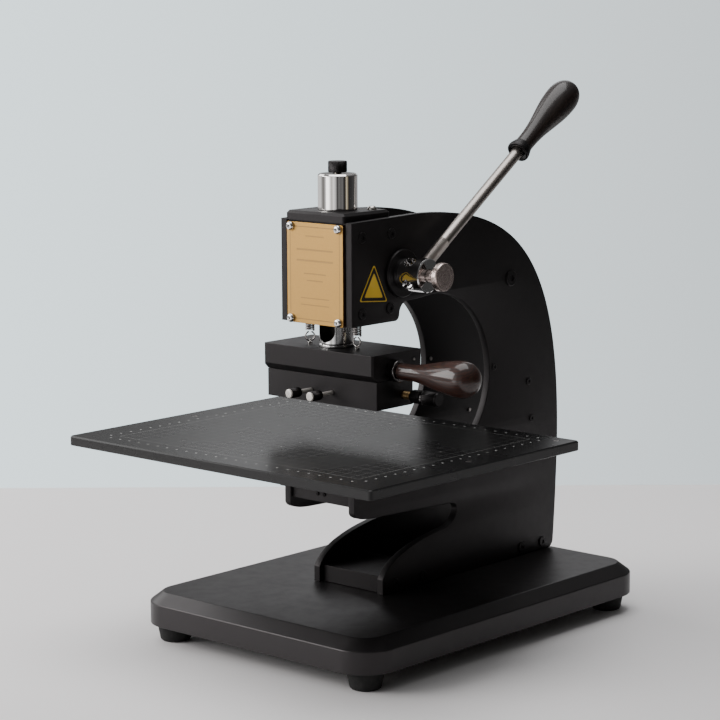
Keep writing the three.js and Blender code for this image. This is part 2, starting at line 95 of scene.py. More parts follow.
class Number:
    """A value that varies over a surface. Arithmetic on it adds Math nodes."""

    def __init__(self, finish, socket):
        self.finish = finish
        self.socket = socket

    def maths(self, operation, *others):
        return self.finish.maths(operation, self, *others)

    def __add__(self, other):
        return self.maths("ADD", other)

    def __sub__(self, other):
        return self.maths("SUBTRACT", other)

    def __rsub__(self, other):
        return self.finish.maths("SUBTRACT", other, self)

    def __mul__(self, other):
        return self.maths("MULTIPLY", other)

    def __truediv__(self, other):
        return self.maths("DIVIDE", other)

    def __gt__(self, other):
        return self.maths("GREATER_THAN", other)

    def __lt__(self, other):
        return self.maths("LESS_THAN", other)

    def __abs__(self):
        return self.maths("ABSOLUTE")

    __radd__ = __add__
    __rmul__ = __mul__


class Finish:
    """One material: constants go on the shader's own sockets, and patterns are fed to it."""

    def __init__(self, name, **constants):
        self.material = bpy.data.materials.new(name)
        self.material.use_nodes = True
        self.tree = self.material.node_tree
        self.shader = self.tree.nodes["Principled BSDF"]
        for socket, value in constants.items():
            self.shader.inputs[socket.replace("_", " ")].default_value = value
        self.where = self.node("ShaderNodeTexCoord").outputs["Object"]

    def node(self, kind, settings=None, **sockets):
        node = self.tree.nodes.new(kind)
        for name, value in (settings or {}).items():
            setattr(node, name, value)
        for name, value in sockets.items():
            self.plug(node.inputs[name.replace("_", " ")], value)
        return node

    def plug(self, socket, value):
        if isinstance(value, Number):
            value = value.socket
        if isinstance(value, bpy.types.NodeSocket):
            self.tree.links.new(value, socket)
        else:
            socket.default_value = value

    def maths(self, operation, *values):
        node = self.node("ShaderNodeMath", {"operation": operation})
        for socket, value in zip(node.inputs, values):
            self.plug(socket, value)
        return Number(self, node.outputs[0])

    def placed(self, at=(0, 0, 0), turn=(0, 0, 0), scale=(1, 1, 1)):
        """Object coordinates in millimetres, measured from a point, turned, then stretched."""
        moved = self.node("ShaderNodeMapping", {"vector_type": "POINT"}, Vector=self.where,
                          Location=tuple(-c for c in at), Scale=(1 / MM,) * 3)
        if any(turn):
            moved = self.node("ShaderNodeMapping", {"vector_type": "POINT"},
                              Vector=moved.outputs[0], Rotation=turn)
        if scale != (1, 1, 1):
            moved = self.node("ShaderNodeMapping", {"vector_type": "POINT"},
                              Vector=moved.outputs[0], Scale=scale)
        return moved.outputs[0]

    def axes(self, vector):
        parts = self.node("ShaderNodeSeparateXYZ", Vector=vector)
        return [Number(self, out) for out in parts.outputs]

    def noise(self, vector, size, detail=3, roughness=0.5):
        """Soft noise from 0 to 1 whose features are about size millimetres wide."""
        node = self.node("ShaderNodeTexNoise", Vector=vector, Scale=1 / size, Detail=detail,
                         Roughness=roughness)
        return Number(self, node.outputs[0])

    def ramp(self, value, low, high, to_low=0.0, to_high=1.0):
        """Maps low..high to to_low..to_high and holds the ends."""
        node = self.node("ShaderNodeMapRange", {"clamp": True}, Value=value)
        for name, number in (("From Min", low), ("From Max", high),
                             ("To Min", to_low), ("To Max", to_high)):
            node.inputs[name].default_value = number
        return Number(self, node.outputs[0])

    def blend(self, factor, first, second):
        node = self.node("ShaderNodeMix", {"data_type": "RGBA"})
        self.plug(node.inputs[0], factor)
        self.plug(node.inputs[6], first)
        self.plug(node.inputs[7], second)
        return node.outputs[2]

    def feed(self, **sockets):
        for name, value in sockets.items():
            self.plug(self.shader.inputs[name.replace("_", " ")], value)
        return self

    def bump(self, height, depth):
        """Relief of the given depth in millimetres, from a 0 to 1 height."""
        node = self.node("ShaderNodeBump", Height=height, Strength=1.0, Distance=depth * MM)
        return self.feed(Normal=node.outputs[0])


def rgb(red, green, blue):
    return (red, green, blue, 1.0)


# ---------------------------------------------------------------- finishes
def black_coating(name="black_coating", shade=1.0, roughness=0.45, gloss=0.29):
    """Satin black anodised metal: a fine sandy grain, faint smears, rougher blotches here and there."""
    finish = Finish(name, Specular_IOR_Level=gloss, Specular_Tint=rgb(1.0, 0.93, 0.95))
    here = finish.placed()
    sand = finish.noise(here, 0.35, 2, 0.6)
    smear = finish.noise(here, 38, 4, 0.6)
    handled = finish.ramp(finish.noise(here, 9, 5, 0.65), 0.42, 0.7)
    tone = finish.blend(smear, rgb(0.0056 * shade, 0.005 * shade, 0.0053 * shade),
                        rgb(0.009 * shade, 0.0081 * shade, 0.0085 * shade))
    finish.feed(Base_Color=tone, Roughness=roughness - 0.05 + 0.1 * smear + 0.05 * handled)
    finish.bump(sand, 0.02)
    return finish.material


def printed_table():
    """The table's black coat with its white ruler dots, border, fine grid and centre cross."""
    finish = Finish("printed_table", Specular_IOR_Level=0.34)
    here = finish.placed()
    sand = finish.noise(here, 0.35, 2, 0.6)
    smear = finish.noise(here, 60, 4, 0.6)
    x, y, z = finish.axes(here)
    centre_y = RULER["cross_y"]
    side = abs(x)

    def line(distance, width):
        return abs(distance) < width / 2

    def dots(across, along, pitch, radius):
        step = finish.maths("PINGPONG", along + pitch * 400, pitch / 2)
        return finish.maths("SQRT", across * across + step * step) < radius

    def within(value, low, high):
        return (value > low) * (value < high)

    def any_of(*masks):
        total = masks[0]
        for mask in masks[1:]:
            total = finish.maths("MAXIMUM", total, mask)
        return total

    front, back = RULER["front_y"], RULER["back_y"]
    right = RULER["right_x"]
    inside_x = side < right - 6
    inside_y = within(y, front + 6, back - 6)
    column = dots(side - right, y - RULER["first_y"], RULER["pitch"], RULER["dot"])
    row = any_of(dots(y - front, x - RULER["first_x"], RULER["pitch"], RULER["dot"]),
                 dots(y - back, x - RULER["first_x"], RULER["pitch"], RULER["dot"]))
    edge_dots = any_of(column * within(y, front + 5, back - 5), row * (side < right - 5))
    border_x, border_front, border_back = right - 8, front + 8, back - 8
    frame_line = any_of(
        line(side - border_x, 0.45) * within(y, border_front, border_back),
        any_of(line(y - border_front, 0.45), line(y - border_back, 0.45)) * (side < border_x))
    grid_x = finish.maths("PINGPONG", x + 4000, 5)
    grid_y = finish.maths("PINGPONG", y - centre_y + 4000, 5)
    grid = any_of(grid_x < 0.12, grid_y < 0.12) * (side < border_x) * within(y, border_front, border_back)
    cross = any_of(dots(x, y - centre_y, 20, 0.8) * inside_y,
                   dots(y - centre_y, x, 20, 0.8) * inside_x)
    top_face = z > TABLE_HIGH.z - 0.2
    wear = finish.ramp(finish.noise(here, 2.4, 4, 0.7), 0.3, 0.6, 0.55, 1.0)
    ink = any_of(edge_dots, cross * 0.8, frame_line * 0.45, grid * 0.3) * top_face * wear
    black = finish.blend(smear, rgb(0.006, 0.0058, 0.006), rgb(0.0095, 0.0092, 0.0095))
    finish.feed(Base_Color=finish.blend(ink, black, rgb(0.45, 0.45, 0.44)),
                Roughness=0.24 + 0.07 * smear + 0.15 * ink)
    finish.bump(sand, 0.012)
    return finish.material


def rubber():
    finish = Finish("rubber", Specular_IOR_Level=0.35)
    here = finish.placed()
    dust = finish.ramp(finish.noise(here, 5, 5, 0.7), 0.45, 0.8)
    finish.feed(Base_Color=finish.blend(dust, rgb(0.012, 0.012, 0.012), rgb(0.035, 0.034, 0.033)),
                Roughness=0.78 + 0.15 * dust)
    finish.bump(finish.noise(here, 0.7, 3), 0.06)
    return finish.material


def polished(name, tint, roughness, smear_size=14.0, metallic=1.0):
    """Polished metal with faint polishing smears."""
    finish = Finish(name, Metallic=metallic)
    here = finish.placed()
    smear = finish.noise(here, smear_size, 4, 0.6)
    specks = finish.ramp(finish.noise(here, 1.2, 3, 0.7), 0.62, 0.75)
    finish.feed(Base_Color=finish.blend(smear, rgb(*[c * 0.93 for c in tint]), rgb(*tint)),
                Roughness=roughness + 0.05 * smear + 0.08 * specks)
    finish.bump(finish.noise(here, 6, 2), 0.012)
    return finish.material


def turned_metal(name, tint, roughness, axis, at, pitch=0.22, depth=0.02, spread=0.16, shade_radius=0.0):
    """Metal fresh from the lathe: fine rings round an axis. Nearer the axis than the given radius it is
    painted dull and dark: painted shade in the ram's pocket and wherever the bar is cut in towards its axis.
    """
    finish = Finish(name, Metallic=1.0)
    turn = {"X": (0, -math.pi / 2, 0), "Y": (math.pi / 2, 0, 0), "Z": (0, 0, 0),
            "lever": (math.pi / 2 - LEVER_TILT, 0, 0)}[axis]
    x, y, z = finish.axes(finish.placed(at, turn))
    out = finish.maths("SQRT", x * x + y * y)
    ring = finish.node("ShaderNodeCombineXYZ", X=out, Y=z, Z=0.0).outputs[0]
    rings = finish.noise(ring, pitch, 3, 0.6)
    stain = finish.noise(finish.placed(), 11, 4, 0.6)
    dark = rgb(*[c * 0.78 for c in tint])
    tone = finish.blend(rings * 0.55 + stain * 0.45, dark, rgb(*tint))
    # Painted shade: inside this radius the metal turns near black and dull.
    inside = out < shade_radius
    finish.feed(Base_Color=finish.blend(inside, tone, rgb(0.07, 0.062, 0.058)),
                Roughness=roughness + spread * (rings - 0.3) + spread * 0.4 * stain + 0.35 * inside)
    finish.bump(rings, depth)
    return finish.material


def ground_bar():
    """The lever bar: ground steel, its scratches running round and along it."""
    finish = Finish("ground_bar", Metallic=1.0)
    along = finish.placed((0, SHAFT.y, SHAFT.z), (math.pi / 2 - LEVER_TILT, 0, 0), (3.2, 3.2, 0.04))
    around = finish.placed((0, SHAFT.y, SHAFT.z), (math.pi / 2 - LEVER_TILT, 0, 0), (0.3, 0.3, 2.6))
    streaks = finish.noise(along, 1, 3, 0.6)
    rings = finish.noise(around, 1, 3, 0.7)
    stain = finish.noise(finish.placed(), 16, 5, 0.65)
    grain = streaks * 0.5 + rings * 0.5
    finish.feed(Base_Color=finish.blend(grain * 0.6 + stain * 0.4, rgb(0.27, 0.24, 0.22),
                                        rgb(0.55, 0.505, 0.475)),
                Roughness=0.26 + 0.2 * grain)
    finish.bump(grain, 0.02)
    return finish.material


def gold_plate():
    """Champagne gold aluminium, finely brushed, with an engraved border and plain rules."""
    finish = Finish("gold_plate", Metallic=0.75)
    brushed = finish.placed(scale=(0.05, 1, 4.5))
    here = finish.placed()
    x, y, z = finish.axes(here)
    streak = finish.noise(brushed, 1, 4, 0.65)
    mottle = finish.noise(here, 1.1, 4, 0.7)
    across, up = abs(x), abs(z - (LABEL_LOW.z + LABEL_HIGH.z) / 2)
    half_width = (LABEL_HIGH.x - LABEL_LOW.x) / 2 - 3.4
    half_height = (LABEL_HIGH.z - LABEL_LOW.z) / 2 - 3.2
    sides = (abs(across - half_width) < 0.3) * (up < half_height)
    ends = (abs(up - half_height) < 0.3) * (across < half_width)
    groove = finish.maths("MAXIMUM", sides, ends)
    for height, reach, width in ((307, 9, 0.5), (297, 18, 0.7), (289, 18, 0.7), (279.5, 11, 0.5),
                                 (274.5, 8, 0.5), (261.5, 14, 0.4), (256.5, 14, 0.4)):
        rule = (abs(z - height) < width) * (across < reach)
        groove = finish.maths("MAXIMUM", groove, rule * 0.7)
    tone = finish.blend(streak * 0.5 + mottle * 0.5, rgb(0.42, 0.235, 0.06), rgb(0.6, 0.36, 0.11))
    rim = (across > (LABEL_HIGH.x - LABEL_LOW.x) / 2 - 0.2) + (y > LABEL_LOW.y + 0.3)
    face = finish.blend(groove * 0.6, tone, rgb(0.2, 0.13, 0.07))
    finish.feed(Base_Color=finish.blend(finish.maths("MINIMUM", rim, 1.0), face, rgb(0.09, 0.04, 0.02)),
                Roughness=0.42 + 0.14 * streak)
    finish.bump(streak * 0.2 + mottle * 0.15 + (1 - groove), 0.05)
    return finish.material


def label_yellow():
    finish = Finish("label_yellow", Specular_IOR_Level=0.35, Coat_Weight=0.3)
    here = finish.placed()
    mottle = finish.noise(here, 7, 4)
    finish.feed(Base_Color=finish.blend(mottle, rgb(0.74, 0.47, 0.02), rgb(0.85, 0.56, 0.03)),
                Roughness=0.4 + 0.15 * finish.noise(here, 2, 3))
    return finish.material


def lacquered_wood(name, at, turn, light, dark, gloss):
    """Turned wood under lacquer: long grain along the handle, pores, worn lacquer."""
    finish = Finish(name, Coat_Weight=0.7, Coat_Roughness=gloss, Specular_IOR_Level=0.25)
    along = finish.placed(at, turn, (0.55, 0.55, 0.035))
    here = finish.placed(at, turn)
    x, y, _ = finish.axes(along)
    warp = finish.noise(along, 1.6, 3, 0.6)
    rings = finish.maths("PINGPONG", x * 0.9 + y * 0.35 + warp * 2.6, 0.5) * 2
    pores = finish.ramp(finish.noise(finish.placed(at, turn, (3.4, 3.4, 0.22)), 1, 3, 0.7), 0.56, 0.7)
    cloud = finish.noise(here, 19, 4, 0.6)
    tone = finish.blend(rings * 0.65 + cloud * 0.35, rgb(*dark), rgb(*light))
    finish.feed(Base_Color=finish.blend(pores * 0.7, tone, rgb(*[c * 0.35 for c in dark])),
                Roughness=0.42 + 0.2 * cloud)
    finish.bump(pores * -0.4 + rings * 0.25, 0.05)
    return finish.material


# ---------------------------------------------------------------- printed ruler of the table
RULER = {"pitch": 10.0, "dot": 0.85, "right_x": 126.9, "front_y": TABLE_LOW.y + 14.9,
         "back_y": TABLE_LOW.y + 219.0, "first_y": TABLE_LOW.y + 21.3, "first_x": 120.15,
         "cross_y": TABLE_LOW.y + 131.5}

SHAFT_AT = (0, SHAFT.y, SHAFT.z)
LEVER_TURN = (math.pi / 2 - LEVER_TILT, 0, 0)

COATING = black_coating()
BASE_COATING = black_coating("base_coating", 1.0, 0.38, 0.46)
DARK_COATING = black_coating("black_oxide", 0.55, 0.36)
TABLE_TOP = printed_table()
RUBBER = rubber()
CHROME = polished("chrome", (0.78, 0.77, 0.76), 0.05)
BRIGHT_STEEL = polished("bright_steel", (0.66, 0.63, 0.6), 0.18, 6)
# Its last number is the radius inside which the ram's chrome is painted dark: painted shade in its pocket.
RAM_CHROME = turned_metal("ram_chrome", (0.74, 0.73, 0.73), 0.1, "Z", (0, RAM.y, 0), 0.3, 0.006, 0.06, 12.2)
CYLINDER_CHROME = turned_metal("cylinder_chrome", (0.88, 0.85, 0.83), 0.05, "Z", (0, CYLINDER.y, 0),
                               0.3, 0.002, 0.03)
HUB_CHROME = turned_metal("hub_chrome", (0.8, 0.79, 0.79), 0.06, "X", SHAFT_AT, 0.4, 0.004, 0.04)
TURNED_STEEL = turned_metal("turned_steel", (0.56, 0.48, 0.45), 0.24, "X", SHAFT_AT)
FACED_STEEL = turned_metal("faced_steel", (0.66, 0.55, 0.51), 0.2, "X", SHAFT_AT, 0.5, 0.035)
DULL_STEEL = polished("dull_steel", (0.3, 0.28, 0.27), 0.3, 5)
# Chrome painted dark: a painted dark reflection, for the side handle's collar and the lock's ring.
SHADED_CHROME = polished("shaded_chrome", (0.2, 0.19, 0.19), 0.12, 9)
# Pale, partly diffuse steel for the thumb screws: painted light, so the stems read bright as if they
# reflected the overhead light.
LIT_THUMB_STEEL = polished("lit_thumb_steel", (0.75, 0.71, 0.67), 0.34, 4, 0.35)
BRASS = turned_metal("brass", (0.62, 0.42, 0.2), 0.22, "X", (0, LOCK.y, LOCK.z))
SPRING_STEEL = polished("spring_steel", (0.42, 0.4, 0.39), 0.22, 5)
GOLD = gold_plate()
DARK_WOOD = lacquered_wood("dark_wood", SHAFT_AT, LEVER_TURN, (0.02, 0.0105, 0.0085),
                           (0.0055, 0.0035, 0.0035), 0.2)
RED_WOOD = lacquered_wood("red_wood", (0, HANDLE.y, HANDLE.z), (0, -math.pi / 2, 0),
                          (0.045, 0.012, 0.006), (0.005, 0.003, 0.003), 0.1)
BAR_STEEL = ground_bar()
LABEL_YELLOW = label_yellow()

# ---------------------------------------------------------------- modelling helpers
ALONG = {
    "Z": Matrix.Identity(4),
    "-Z": Matrix.Rotation(math.pi, 4, "X"),
    "X": Matrix.Rotation(math.pi / 2, 4, "Y"),
    "-X": Matrix.Rotation(-math.pi / 2, 4, "Y"),
    "-Y": Matrix.Rotation(math.pi / 2, 4, "X"),
    "lever": Matrix.Rotation(-(math.pi / 2 - LEVER_TILT), 4, "X"),
}


def aimed(bm, along, at):
    """Turns what was made along +Z to another direction and moves it to its place."""
    bmesh.ops.transform(bm, matrix=Matrix.Translation(Vector(at)) @ ALONG[along], verts=bm.verts)
    return bm


def merged(*meshes):
    """One bmesh that holds several."""
    total = meshes[0]
    for other in meshes[1:]:
        mesh = bpy.data.meshes.new("part")
        other.to_mesh(mesh)
        other.free()
        total.from_mesh(mesh)
        bpy.data.meshes.remove(mesh)
    return total


def spun(profile, steps=72):
    """A turned shape on the Z axis from (radius, height) pairs, from the foot up."""
    bm = bmesh.new()
    verts = [bm.verts.new((r, 0, z)) for r, z in profile]
    edges = [bm.edges.new(pair) for pair in zip(verts, verts[1:])]
    bmesh.ops.spin(bm, geom=verts + edges, cent=(0, 0, 0), axis=(0, 0, 1),
                   angle=2 * math.pi, steps=steps, use_merge=True)
    bmesh.ops.remove_doubles(bm, verts=bm.verts, dist=1e-4)
    return bm


def curve_profile(*arcs, points=10):
    """Joins Bezier arcs, each four (radius, height) pairs, into one outline."""
    outline = []
    for arc in arcs:
        knots = [Vector((*p, 0)) for p in arc]
        outline += [tuple(p[:2]) for p in interpolate_bezier(*knots, points)][bool(outline):]
    return outline


def block(low, high, corner=0.0, segments=6):
    """An upright block with rounded vertical corners."""
    low, high = Vector(low), Vector(high)
    size = high - low
    bm = bmesh.new()
    bmesh.ops.create_grid(bm, x_segments=1, y_segments=1, size=0.5)
    bmesh.ops.scale(bm, vec=(size.x, size.y, 1), verts=bm.verts)
    if corner:
        bmesh.ops.bevel(bm, geom=bm.verts[:], offset=corner, segments=segments, profile=0.5,
                        affect="VERTICES", material=-1)
    top = bmesh.ops.extrude_face_region(bm, geom=bm.faces[:])
    bmesh.ops.translate(bm, vec=(0, 0, size.z), verts=verts_of(top))
    bmesh.ops.translate(bm, vec=((low.x + high.x) / 2, (low.y + high.y) / 2, low.z), verts=bm.verts)
    return bm


def verts_of(result):
    return [item for item in result["geom"] if isinstance(item, bmesh.types.BMVert)]


def edges_where(bm, test):
    return [edge for edge in bm.edges if test((edge.verts[0].co + edge.verts[1].co) / 2, edge)]


def chamfer(bm, edges, width, segments=1):
    bmesh.ops.bevel(bm, geom=edges, offset=width, segments=segments, profile=0.5, affect="EDGES",
                    material=-1, clamp_overlap=True)


def prism(radius, sides, low, high, turn=0.0):
    """An upright prism, six-sided for a nut or a socket."""
    bm = bmesh.new()
    bmesh.ops.create_circle(bm, cap_ends=True, segments=sides, radius=radius)
    bmesh.ops.rotate(bm, verts=bm.verts, cent=(0, 0, 0), matrix=Matrix.Rotation(turn, 3, "Z"))
    top = bmesh.ops.extrude_face_region(bm, geom=bm.faces[:])
    bmesh.ops.translate(bm, vec=(0, 0, high - low), verts=verts_of(top))
    bmesh.ops.translate(bm, vec=(0, 0, low), verts=bm.verts)
    return bm


def socket_screw(profile, hex_radius, depth, sides=48):
    """A screw head: the profile runs from the axis, out and up to the rim of its top face.
    A six-sided socket is sunk into the top."""
    bm = spun(profile, sides)
    height = profile[-1][1]
    rim = [edge for edge in bm.edges if edge.is_boundary]
    hexagon = bmesh.ops.create_circle(bm, segments=6, radius=hex_radius)
    bmesh.ops.translate(bm, vec=(0, 0, height), verts=hexagon["verts"])
    sides_of = list({edge for vert in hexagon["verts"] for edge in vert.link_edges})
    cut = bmesh.ops.subdivide_edges(bm, edges=sides_of, cuts=sides // 6 - 1)
    loop = [e for e in cut["geom_inner"] + cut["geom"] if isinstance(e, bmesh.types.BMEdge)]
    loop = list({e for e in loop + sides_of if e.is_valid and not e.link_faces})
    bmesh.ops.bridge_loops(bm, edges=rim + loop)
    down = bmesh.ops.extrude_edge_only(bm, edges=loop)
    sunk = verts_of(down)
    bmesh.ops.translate(bm, vec=(0, 0, -depth), verts=sunk)
    floor = [edge for edge in bm.edges if edge.is_boundary]
    bmesh.ops.edgeloop_fill(bm, edges=floor)
    return bm


def knurled(radius, depth, count, low, high, end_chamfer=0.6):
    """A grip with straight knurling and chamfered ends."""
    bm = bmesh.new()
    bmesh.ops.create_circle(bm, cap_ends=True, segments=count * 2, radius=radius)
    crests = sorted(bm.verts, key=lambda v: math.atan2(v.co.y, v.co.x))[::2]
    bmesh.ops.scale(bm, vec=(1 - depth / radius, 1 - depth / radius, 1), verts=crests)
    small = (radius - end_chamfer) / radius
    levels = [(low, small), (low + end_chamfer, 1), (high - end_chamfer, 1), (high, small)]
    bmesh.ops.translate(bm, vec=(0, 0, low), verts=bm.verts)
    bmesh.ops.scale(bm, vec=(small, small, 1), verts=bm.verts)
    face, size, place = bm.faces[:], small, low
    for height, scale in levels[1:]:
        result = bmesh.ops.extrude_face_region(bm, geom=face)
        moved = verts_of(result)
        bmesh.ops.scale(bm, vec=(scale / size, scale / size, 1), verts=moved)
        bmesh.ops.translate(bm, vec=(0, 0, height - place), verts=moved)
        face = [item for item in result["geom"] if isinstance(item, bmesh.types.BMFace)]
        size, place = scale, height
    return bm


def piece(name, bm, finish, body, replaces=(), edge=0.0, segments=2):
    """Makes the finished object: metres, outward faces, rounded edges, its body and its finish."""
    bmesh.ops.remove_doubles(bm, verts=bm.verts, dist=1e-4)
    bmesh.ops.recalc_face_normals(bm, faces=bm.faces)
    bmesh.ops.scale(bm, vec=(MM, MM, MM), verts=bm.verts)
    for face in bm.faces:
        face.smooth = True
    if not edge:
        for each in bm.edges:
            each.smooth = len(each.link_faces) != 2 or each.calc_face_angle() < math.radians(32)
    mesh = bpy.data.meshes.new(name)
    bm.to_mesh(mesh)
    bm.free()
    return placed_piece(name, mesh, finish, body, replaces, edge, segments)


def placed_piece(name, mesh, finish, body, replaces=(), edge=0.0, segments=2):
    mesh.materials.clear()
    mesh.materials.append(finish)
    obj = bpy.data.objects.new(name, mesh)
    bpy.context.collection.objects.link(obj)
    if edge:
        rounding = obj.modifiers.new("edges", "BEVEL")
        rounding.width = edge * MM
        rounding.segments = segments
        rounding.limit_method = "ANGLE"
        rounding.angle_limit = math.radians(28)
        rounding.harden_normals = True
    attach(obj, body)
    if replaces:
        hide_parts(*replaces)
    return obj


def carved(bm, *tools):
    """Cuts the tools out of the shape with exact booleans."""
    def as_object(name, source):
        mesh = bpy.data.meshes.new(name)
        bmesh.ops.recalc_face_normals(source, faces=source.faces)
        source.to_mesh(mesh)
        source.free()
        obj = bpy.data.objects.new(name, mesh)
        bpy.context.collection.objects.link(obj)
        return obj

    body = as_object("carved", bm)
    cutters = [as_object("cutter", tool) for tool in tools]
    for cutter in cutters:
        cut = body.modifiers.new("cut", "BOOLEAN")
        cut.operation = "DIFFERENCE"
        cut.solver = "EXACT"
        cut.object = cutter
    bpy.context.view_layer.update()
    result = bmesh.new()
    result.from_object(body, bpy.context.evaluated_depsgraph_get())
    for obj in [body] + cutters:
        mesh = obj.data
        bpy.data.objects.remove(obj)
        bpy.data.meshes.remove(mesh)
    return result


# ---------------------------------------------------------------- base and feet
def make_base():
    corner, chamfer_width, chamfer_height = 27, 10, 7.6
    shoulder = BASE_HIGH.z - chamfer_height
    bm = block(BASE_LOW, (BASE_HIGH.x, BASE_HIGH.y, shoulder), corner, 20)
    top = max(bm.faces, key=lambda f: f.calc_center_median().z)
    bmesh.ops.inset_region(bm, faces=[top], thickness=chamfer_width, depth=0)
    bmesh.ops.translate(bm, vec=(0, 0, chamfer_height), verts=top.verts)
    piece("base", bm, BASE_COATING, "frame", ["base_plate"], 0.7, 3)


def make_feet():
    for side in ("left", "right"):
        for end in ("front", "rear"):
            node = f"foot_{end}_{side}"
            low, high = span(node)
            centre = (low + high) / 2
            outline = [(0, 0)] + curve_profile(
                [(8.6, 0), (10.6, 0), (11.4, 1.0), (11.7, 3.0)],
                [(11.7, 3.0), (12.0, 5.4), (12.8, 8.0), (13.0, 10.2)], points=6)
            outline += [(13.0, high.z), (0, high.z)]
            bm = aimed(spun(outline, 56), "Z", (centre.x, centre.y, 0))
            piece(f"rubber_{node}", bm, RUBBER, "frame", [node], 0.3)


# ---------------------------------------------------------------- side plates
ARM_TOP = TABLE_LOW.z - 0.3
PLATE_BOTTOM = PLATE_LOW.z
THROAT = Vector((21.6, 193.0))
THROAT_RADIUS = 66.0


def side_plate_outline():
    """Bezier knots of a side plate as (handle before, point, handle after), in (y, z)."""
    def corner(y, z):
        return ((y, z), (y, z), (y, z))

    def on_throat(angle, before, after):
        """A knot on the throat's circle with handles for arcs to its neighbours, clockwise."""
        point = THROAT + THROAT_RADIUS * Vector((math.cos(angle), math.sin(angle)))
        along = Vector((math.sin(angle), -math.cos(angle)))
        reach = [4 / 3 * math.tan(turn / 4) * THROAT_RADIUS for turn in (before, after)]
        return (tuple(point - along * reach[0]), tuple(point), tuple(point + along * reach[1]))

    start = math.acos(-13.6 / THROAT_RADIUS)
    end = math.asin((ARM_TOP - THROAT.y) / THROAT_RADIUS)
    third = (start - end) / 3
    throat = [on_throat(start - third * i, third if i else 0, third if i < 3 else 0) for i in range(4)]
    front, bottom = PLATE_LOW.y + 1.4, PLATE_BOTTOM
    return [
        corner(-37.7, bottom), corner(164.6, bottom),
        ((169.0, bottom), (170.2, 44.5), (171.9, 62)),
        ((175.0, 105), (175, 135), (175, 280.5)),
        ((115.9, 320.5), (-0.4, 320.5), (-0.4, 320.5)),
        corner(PLATE_LOW.y, 318.6), corner(PLATE_LOW.y, HEAD_LOW.z),
        corner(-22.4, HEAD_LOW.z),
        ((-18.6, 243.4), (-18.2, 247.5), (-17.8, 253.4)),
        ((-13.8, 256.9), (-7.5, 256.9), (-3.0, 257.0)),
        *throat,
        corner(front, ARM_TOP),
        ((front, 107.5), (front, 106.5), (front, 101.6)),
        ((-61, 99.4), (-45, 98.9), (-45, 98.9)),
        ((30, 96.2), (36.5, 95.9), (44.6, 95.5)),
        ((48.4, 94), (48.2, 90), (47.2, 83.6)),
        ((42.4, 79.6), (34, 77.6), (-8, 73)),
        ((-31.6, 63.2), (-37.7, 50), (-37.7, 50)),
    ]


def flat_curve(name, knots, low, high, rounding, steps):
    """A filled outline in the YZ plane, given thickness between two x values, as a mesh."""
    curve = bpy.data.curves.new(name, "CURVE")
    curve.dimensions = "2D"
    curve.fill_mode = "BOTH"
    curve.resolution_u = steps
    curve.extrude = (high - low) / 2 - rounding
    curve.bevel_depth = rounding
    curve.bevel_resolution = 2
    curve.offset = -rounding
    spline = curve.splines.new("BEZIER")
    spline.bezier_points.add(len(knots) - 1)
    for target, (before, point, after) in zip(spline.bezier_points, knots):
        target.handle_left_type = target.handle_right_type = "FREE"
        target.handle_left = (*before, 0)
        target.co = (*point, 0)
        target.handle_right = (*after, 0)
    spline.use_cyclic_u = True
    obj = bpy.data.objects.new(name, curve)
    bpy.context.collection.objects.link(obj)
    bpy.context.view_layer.update()
    mesh = bpy.data.meshes.new_from_object(obj.evaluated_get(bpy.context.evaluated_depsgraph_get()))
    bpy.data.objects.remove(obj)
    bpy.data.curves.remove(curve)
    # The curve lies in XY: its x becomes y, its y becomes z, and its thickness lies along x.
    turn = Matrix(((0, 0, 1, (low + high) / 2), (1, 0, 0, 0), (0, 1, 0, 0), (0, 0, 0, 1)))
    mesh.transform(turn)
    bm = bmesh.new()
    bm.from_mesh(mesh)
    bpy.data.meshes.remove(mesh)
    return bm


def make_side_plates():
    for node in ("side_plate_left", "side_plate_right"):
        low, high = span(node)
        bm = flat_curve(node, side_plate_outline(), low.x, high.x, 0.6, 56)
        piece(f"{node}_cut", bm, COATING, "frame", [node])


# ---------------------------------------------------------------- blocks between the plates
def make_cross_blocks():
    blocks = {"foot_block_front": 1.2, "foot_block_rear": 1.2,
              "table_cross_plate": 0.6, "table_rear_plate": 0.6}
    for node, edge in blocks.items():
        low, high = span(node)
        piece(f"{node}_bar", block(low, high, 0.8, 3), COATING, "frame", [node], edge)
    for node in ("tie_rod_upper", "tie_rod_lower"):
        low, high = span(node)
        centre = (low + high) / 2
        outline = [(0, low.x), (8, low.x), (8, low.x + 9), (6.6, low.x + 9.6), (6.6, high.x - 9.6),
                   (8, high.x - 9), (8, high.x), (0, high.x)]
        bm = aimed(spun(outline, 48), "X", (0, centre.y, centre.z))
        piece(f"{node}_bar", bm, DARK_COATING, "frame", [node], 0.4)


def make_brackets():
    """Angle brackets that carry the table: a leg on the arm and a flange under the table."""
    for side, sign in (("left", -1), ("right", 1)):
        node = f"table_bracket_{side}"
        low, high = span(node)
        inner, outer = (low.x, high.x) if sign > 0 else (high.x, low.x)
        wall = inner + sign * 5
        leg = block((min(inner, wall), low.y, low.z), (max(inner, wall), high.y, high.z - 0.01), 0.5, 2)
        flange = block((min(inner, outer), low.y, high.z - 5), (max(inner, outer), high.y, high.z), 0.5, 2)
        piece(f"{node}_angle", leg, COATING, "frame", [node], 0.5)
        piece(f"{node}_flange", flange, COATING, "frame", (), 0.5)


